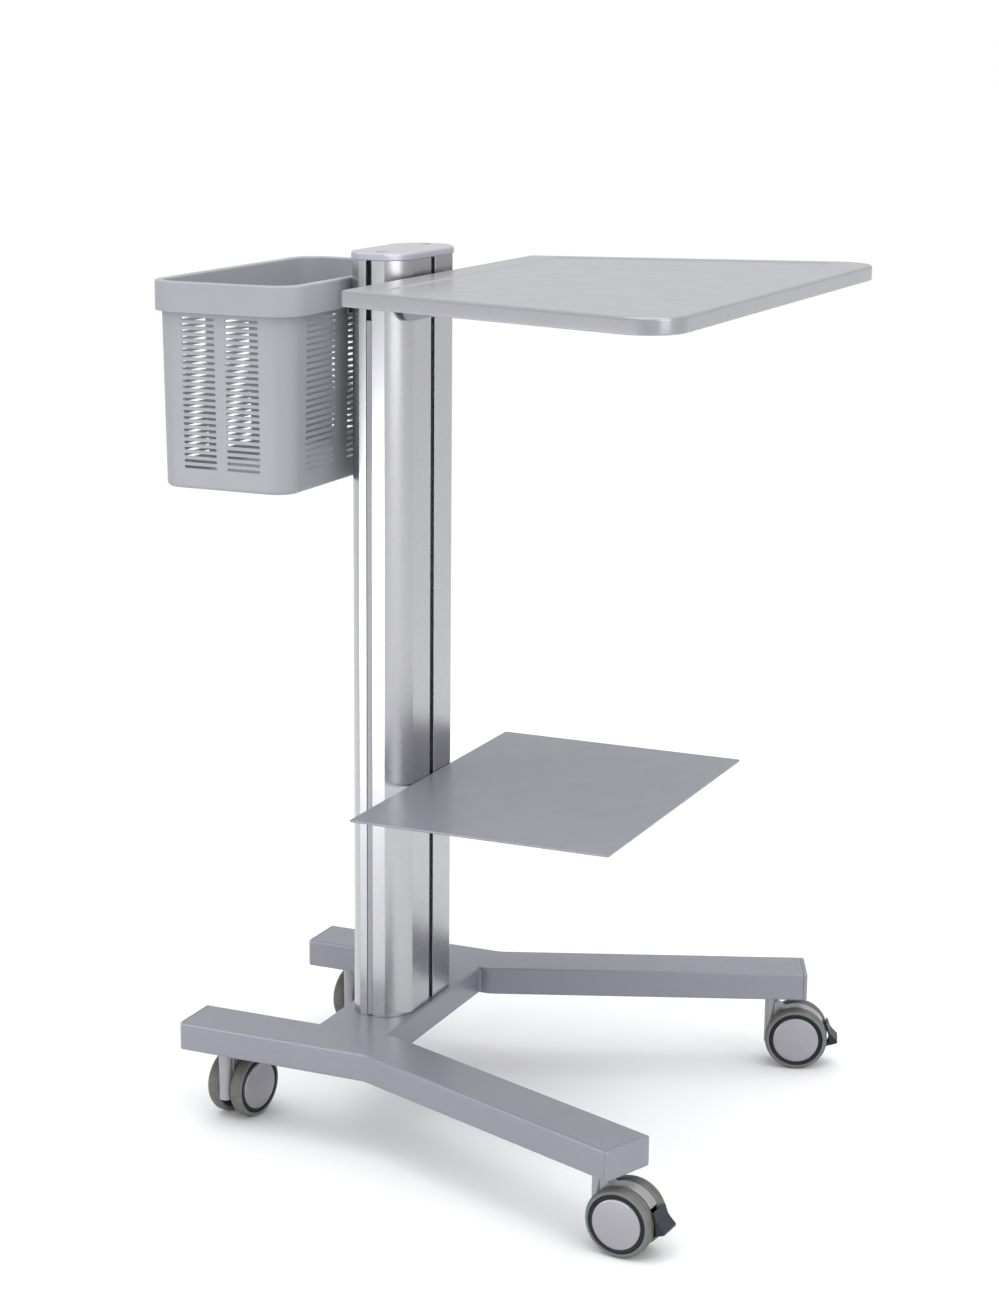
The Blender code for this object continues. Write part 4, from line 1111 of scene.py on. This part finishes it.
def build_wheel(name, side, place):
    """Core, rubber tyre and domed hub cap of one wheel, about its own axle."""
    inner = WHEEL_SPACE / 2
    outer = inner + WHEEL_WIDTH
    wheel_r = size_of(f"{name}_tyre").z / 2
    bore = AXLE_R + 0.0003
    ring_floor = outer - 0.0019
    cup = outer - 0.003
    core = [(bore, inner + 0.0018), (0.0100, inner + 0.0018), (0.0108, inner + 0.0002),
            (0.0150, inner + 0.0002),
            (0.0158, inner + 0.0024), (0.0268, inner + 0.0024), (0.0276, inner + 0.0003),
            (CORE_R - 0.0005, inner), (CORE_R, inner + 0.0005), (CORE_R, outer - 0.0016),
            (CORE_R - 0.0007, outer - 0.0010), (CORE_R - 0.0016, ring_floor),
            (HUB_CAP_R + 0.0010, ring_floor), (HUB_CAP_R + 0.0004, ring_floor - 0.0005),
            (HUB_CAP_R + 0.0003, cup), (bore, cup)]
    seat = CORE_R + 0.0003
    tyre = filleted([(seat, inner + 0.0004), (seat + 0.0010, inner), (wheel_r - 0.0030, inner),
                     (wheel_r, inner + 0.0040), (wheel_r, outer - 0.0055),
                     (wheel_r - 0.0022, outer - 0.0014), (wheel_r - 0.0040, outer - 0.0004),
                     (seat + 0.0008, outer - 0.0003), (seat, outer - 0.0010)],
                    [0.0, 0.0004, 0.0030, 0.0030, 0.0040, 0.0030, 0.0010, 0.0005, 0.0], steps=5)
    cap = [(HUB_CAP_R, cup + 0.0003), (HUB_CAP_R, outer - 0.0006)]
    proud, shoulder = 0.0024, 0.0022
    cap += [(HUB_CAP_R - shoulder * a, outer + 0.0006 - 0.0012 * b) for a, b in quarter_turn(6)[1:]]
    for k in range(1, 9):
        share = 1 - k / 8.4
        cap.append(((HUB_CAP_R - shoulder) * share, outer + 0.0006 + (proud - 0.0006) * (1 - share ** 2)))
    parts = (("core", core, CORE_PLASTIC, "core_plastic", True), ("tyre", tyre, TYRE, "grey_tyre", True),
             ("hub_cap", cap, CASTER_SILVER, "caster_silver", False))
    for part, profile, material, slot, closed in parts:
        points = [(radius, side * position) for radius, position in profile]
        add_piece(f"{name}_turned_{part}", turned(points, 72, "X", closed), material, name,
                  [f"{name}_{part}"], place, sharp_angle=40.0)


def build_pedal(name, place, trail, axle_height):
    """Brake pedal: an arm between the wheels, a lever round their front and a broad step."""
    solids = []
    for outline, width, radius in ((PEDAL_ARM, PEDAL_WIDTH, 0.0014), (PEDAL_LEVER, PEDAL_WIDTH, 0.0009),
                                   (PEDAL_STEP, PEDAL_STEP_WIDTH, 0.0009)):
        local = filleted(shifted(outline, trail, axle_height), radius, steps=3)
        solids.append(soften(side_prism(local, width / 2), 0.0007, 2, 50))
    pedal = combine(combine(solids[0], solids[1]), solids[2])
    reach = trail + FORK_DEPTH
    fork = loft([[Vector((x, -reach, z)), Vector((x, -reach + 0.05, z)), Vector((-x, -reach + 0.05, z)),
                  Vector((-x, -reach, z))] for x, z in ((FORK_HALF, 0.0), (FORK_HALF, 0.1))])
    pedal = combine(pedal, fork, "DIFFERENCE")
    pedal = combine(pedal, pedal_bar(PEDAL_PIN_R + 0.0004, 0.02, trail, axle_height), "DIFFERENCE")
    add_piece(f"{name}_brake_lever", pedal, PEDAL_PLASTIC, f"{name}_pedal", [f"{name}_brake_pedal"],
              place, sharp_angle=38.0)


def build_casters():
    for name in ("front_left", "front_right", "rear_left", "rear_right"):
        place, trail, axle_height = caster_place(name)
        axle_place = place @ Matrix.Translation((0.0, -trail, axle_height))
        build_stem(name, place)
        build_hood(name, place, trail, axle_height)
        reach = WHEEL_SPACE / 2 + WHEEL_WIDTH - 0.0035
        axle = turned([(AXLE_R - 0.0005, -reach), (AXLE_R, -reach + 0.0005), (AXLE_R, reach - 0.0005),
                       (AXLE_R - 0.0005, reach)], 32, "X")
        add_piece(f"{name}_turned_axle", axle, ZINC, f"{name}_caster", [f"{name}_caster_axle"],
                  axle_place, sharp_angle=50.0)
        build_wheel(f"{name}_wheel_a", -1, axle_place)
        build_wheel(f"{name}_wheel_b", 1, axle_place)
        if name.startswith("front"):
            build_pedal(name, place, trail, axle_height)


# ---------------------------------------------------------------- studio

# Strength of the fill light: everywhere, its change towards +X, and its gain overhead
FILL_LEVEL, FILL_SIDE, FILL_TOP = 0.88, -0.15, 0.28
FLOOR_RADIUS = 60.0


def build_floor():
    builder = bmesh.new()
    bmesh.ops.create_circle(builder, cap_ends=True, segments=96, radius=FLOOR_RADIUS)
    floor = add_mesh("floor", builder)
    material, tree, shader = start_material("pale_floor")
    tone = use_group(tree, MOTTLE, Scale=1.5, Amount=0.01, Color=(0.985, 0.985, 0.985, 1.0))
    tree.links.new(tone["Color"], shader.inputs["Base Color"])
    shader.inputs["Roughness"].default_value = 0.85
    floor.data.materials.append(material)


def add_softbox(name, place, target, size, radiance, lights_matt=True):
    """Lamp that shows in reflections but not to the camera; a gleam lamp shows only there."""
    light_data = bpy.data.lights.new(name, "AREA")
    light_data.shape = "RECTANGLE"
    light_data.size, light_data.size_y = size
    light_data.energy = radiance * math.pi * size[0] * size[1]
    light = bpy.data.objects.new(name, light_data)
    bpy.context.scene.collection.objects.link(light)
    direction = Vector(target) - Vector(place)
    light.matrix_world = Matrix.Translation(place) @ direction.to_track_quat("-Z", "Y").to_matrix().to_4x4()
    light.visible_camera = False
    light.visible_diffuse = lights_matt


def build_studio():
    """White room: brighter overhead and to the left, dimmer to the right."""
    build_floor()
    world = bpy.data.worlds.new("studio")
    bpy.context.scene.world = world
    world.use_nodes = True
    tree = world.node_tree
    tree.nodes.clear()
    towards = add_node(tree, "SeparateXYZ", {0: add_node(tree, "TexCoord").outputs["Generated"]}).outputs
    sideways = maths(tree, "MULTIPLY", towards[0], FILL_SIDE)
    overhead = maths(tree, "MULTIPLY", maths(tree, "MAXIMUM", towards[2], 0.0), FILL_TOP)
    strength = maths(tree, "ADD", maths(tree, "ADD", sideways, overhead), FILL_LEVEL)
    seen = add_node(tree, "LightPath").outputs["Is Camera Ray"]
    backdrop = add_node(tree, "Background", {"Color": (1.0, 1.0, 1.0, 1.0), "Strength": 1.0})
    fill = add_node(tree, "Background", {"Color": (0.98, 0.985, 1.0, 1.0), "Strength": strength})
    mix = add_node(tree, "MixShader", {0: seen, 1: fill.outputs[0], 2: backdrop.outputs[0]})
    output = tree.nodes.new("ShaderNodeOutputWorld")
    tree.links.new(mix.outputs[0], output.inputs[0])
    add_softbox("gleam_front", (-1.25, -3.2, 1.72), (0.0, 0.0, 0.9), (1.6, 2.4), 3.0, False)
    add_softbox("gleam_low_left", (-1.5, 0.72, 0.32), (0.0, 0.0, 0.32), (2.0, 0.56), 3.6, False)
    add_softbox("softbox_front", (-1.2, -3.4, 1.9), (0.0, 0.0, 0.6), (1.6, 1.6), 0.9)
    add_softbox("softbox_top", (-0.4, -0.4, 3.2), (0.0, 0.0, 0.0), (3.0, 3.0), 1.6)
    bpy.context.scene.view_settings.view_transform = "Standard"


# ---------------------------------------------------------------- whole stand

for leg_side in (-1, 1):
    build_leg(leg_side)
build_cross_member()
build_column()
build_slot_covers()
build_column_cap()
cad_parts["column_foot"].data.materials.clear()
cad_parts["column_foot"].data.materials.append(ZINC)
build_tray()
build_tray_ribs()
build_bracket("tray", "tray_bracket", TRAY_BRACKET_TAPER, 0.050, 0.020, BRACKET_SILVER, "tray_carriage")
build_shelf()
build_bracket("shelf", "shelf_bracket", 0.0, size_of("shelf_bracket").x / 2 - BRACKET_ARM_WIDTH / 2, 0.006,
              PAINT, "shelf_carriage")
for group_name, group_body in (("tray", "tray_carriage"), ("shelf", "shelf_carriage")):
    for screw_position in ("upper", "lower"):
        build_clamp_screw(f"{group_name}_screw_{screw_position}", group_body)
build_basket()
build_hanger()
for clip_node in ("cable_clip_upper", "cable_clip_lower"):
    build_clip(clip_node)
build_casters()
build_studio()
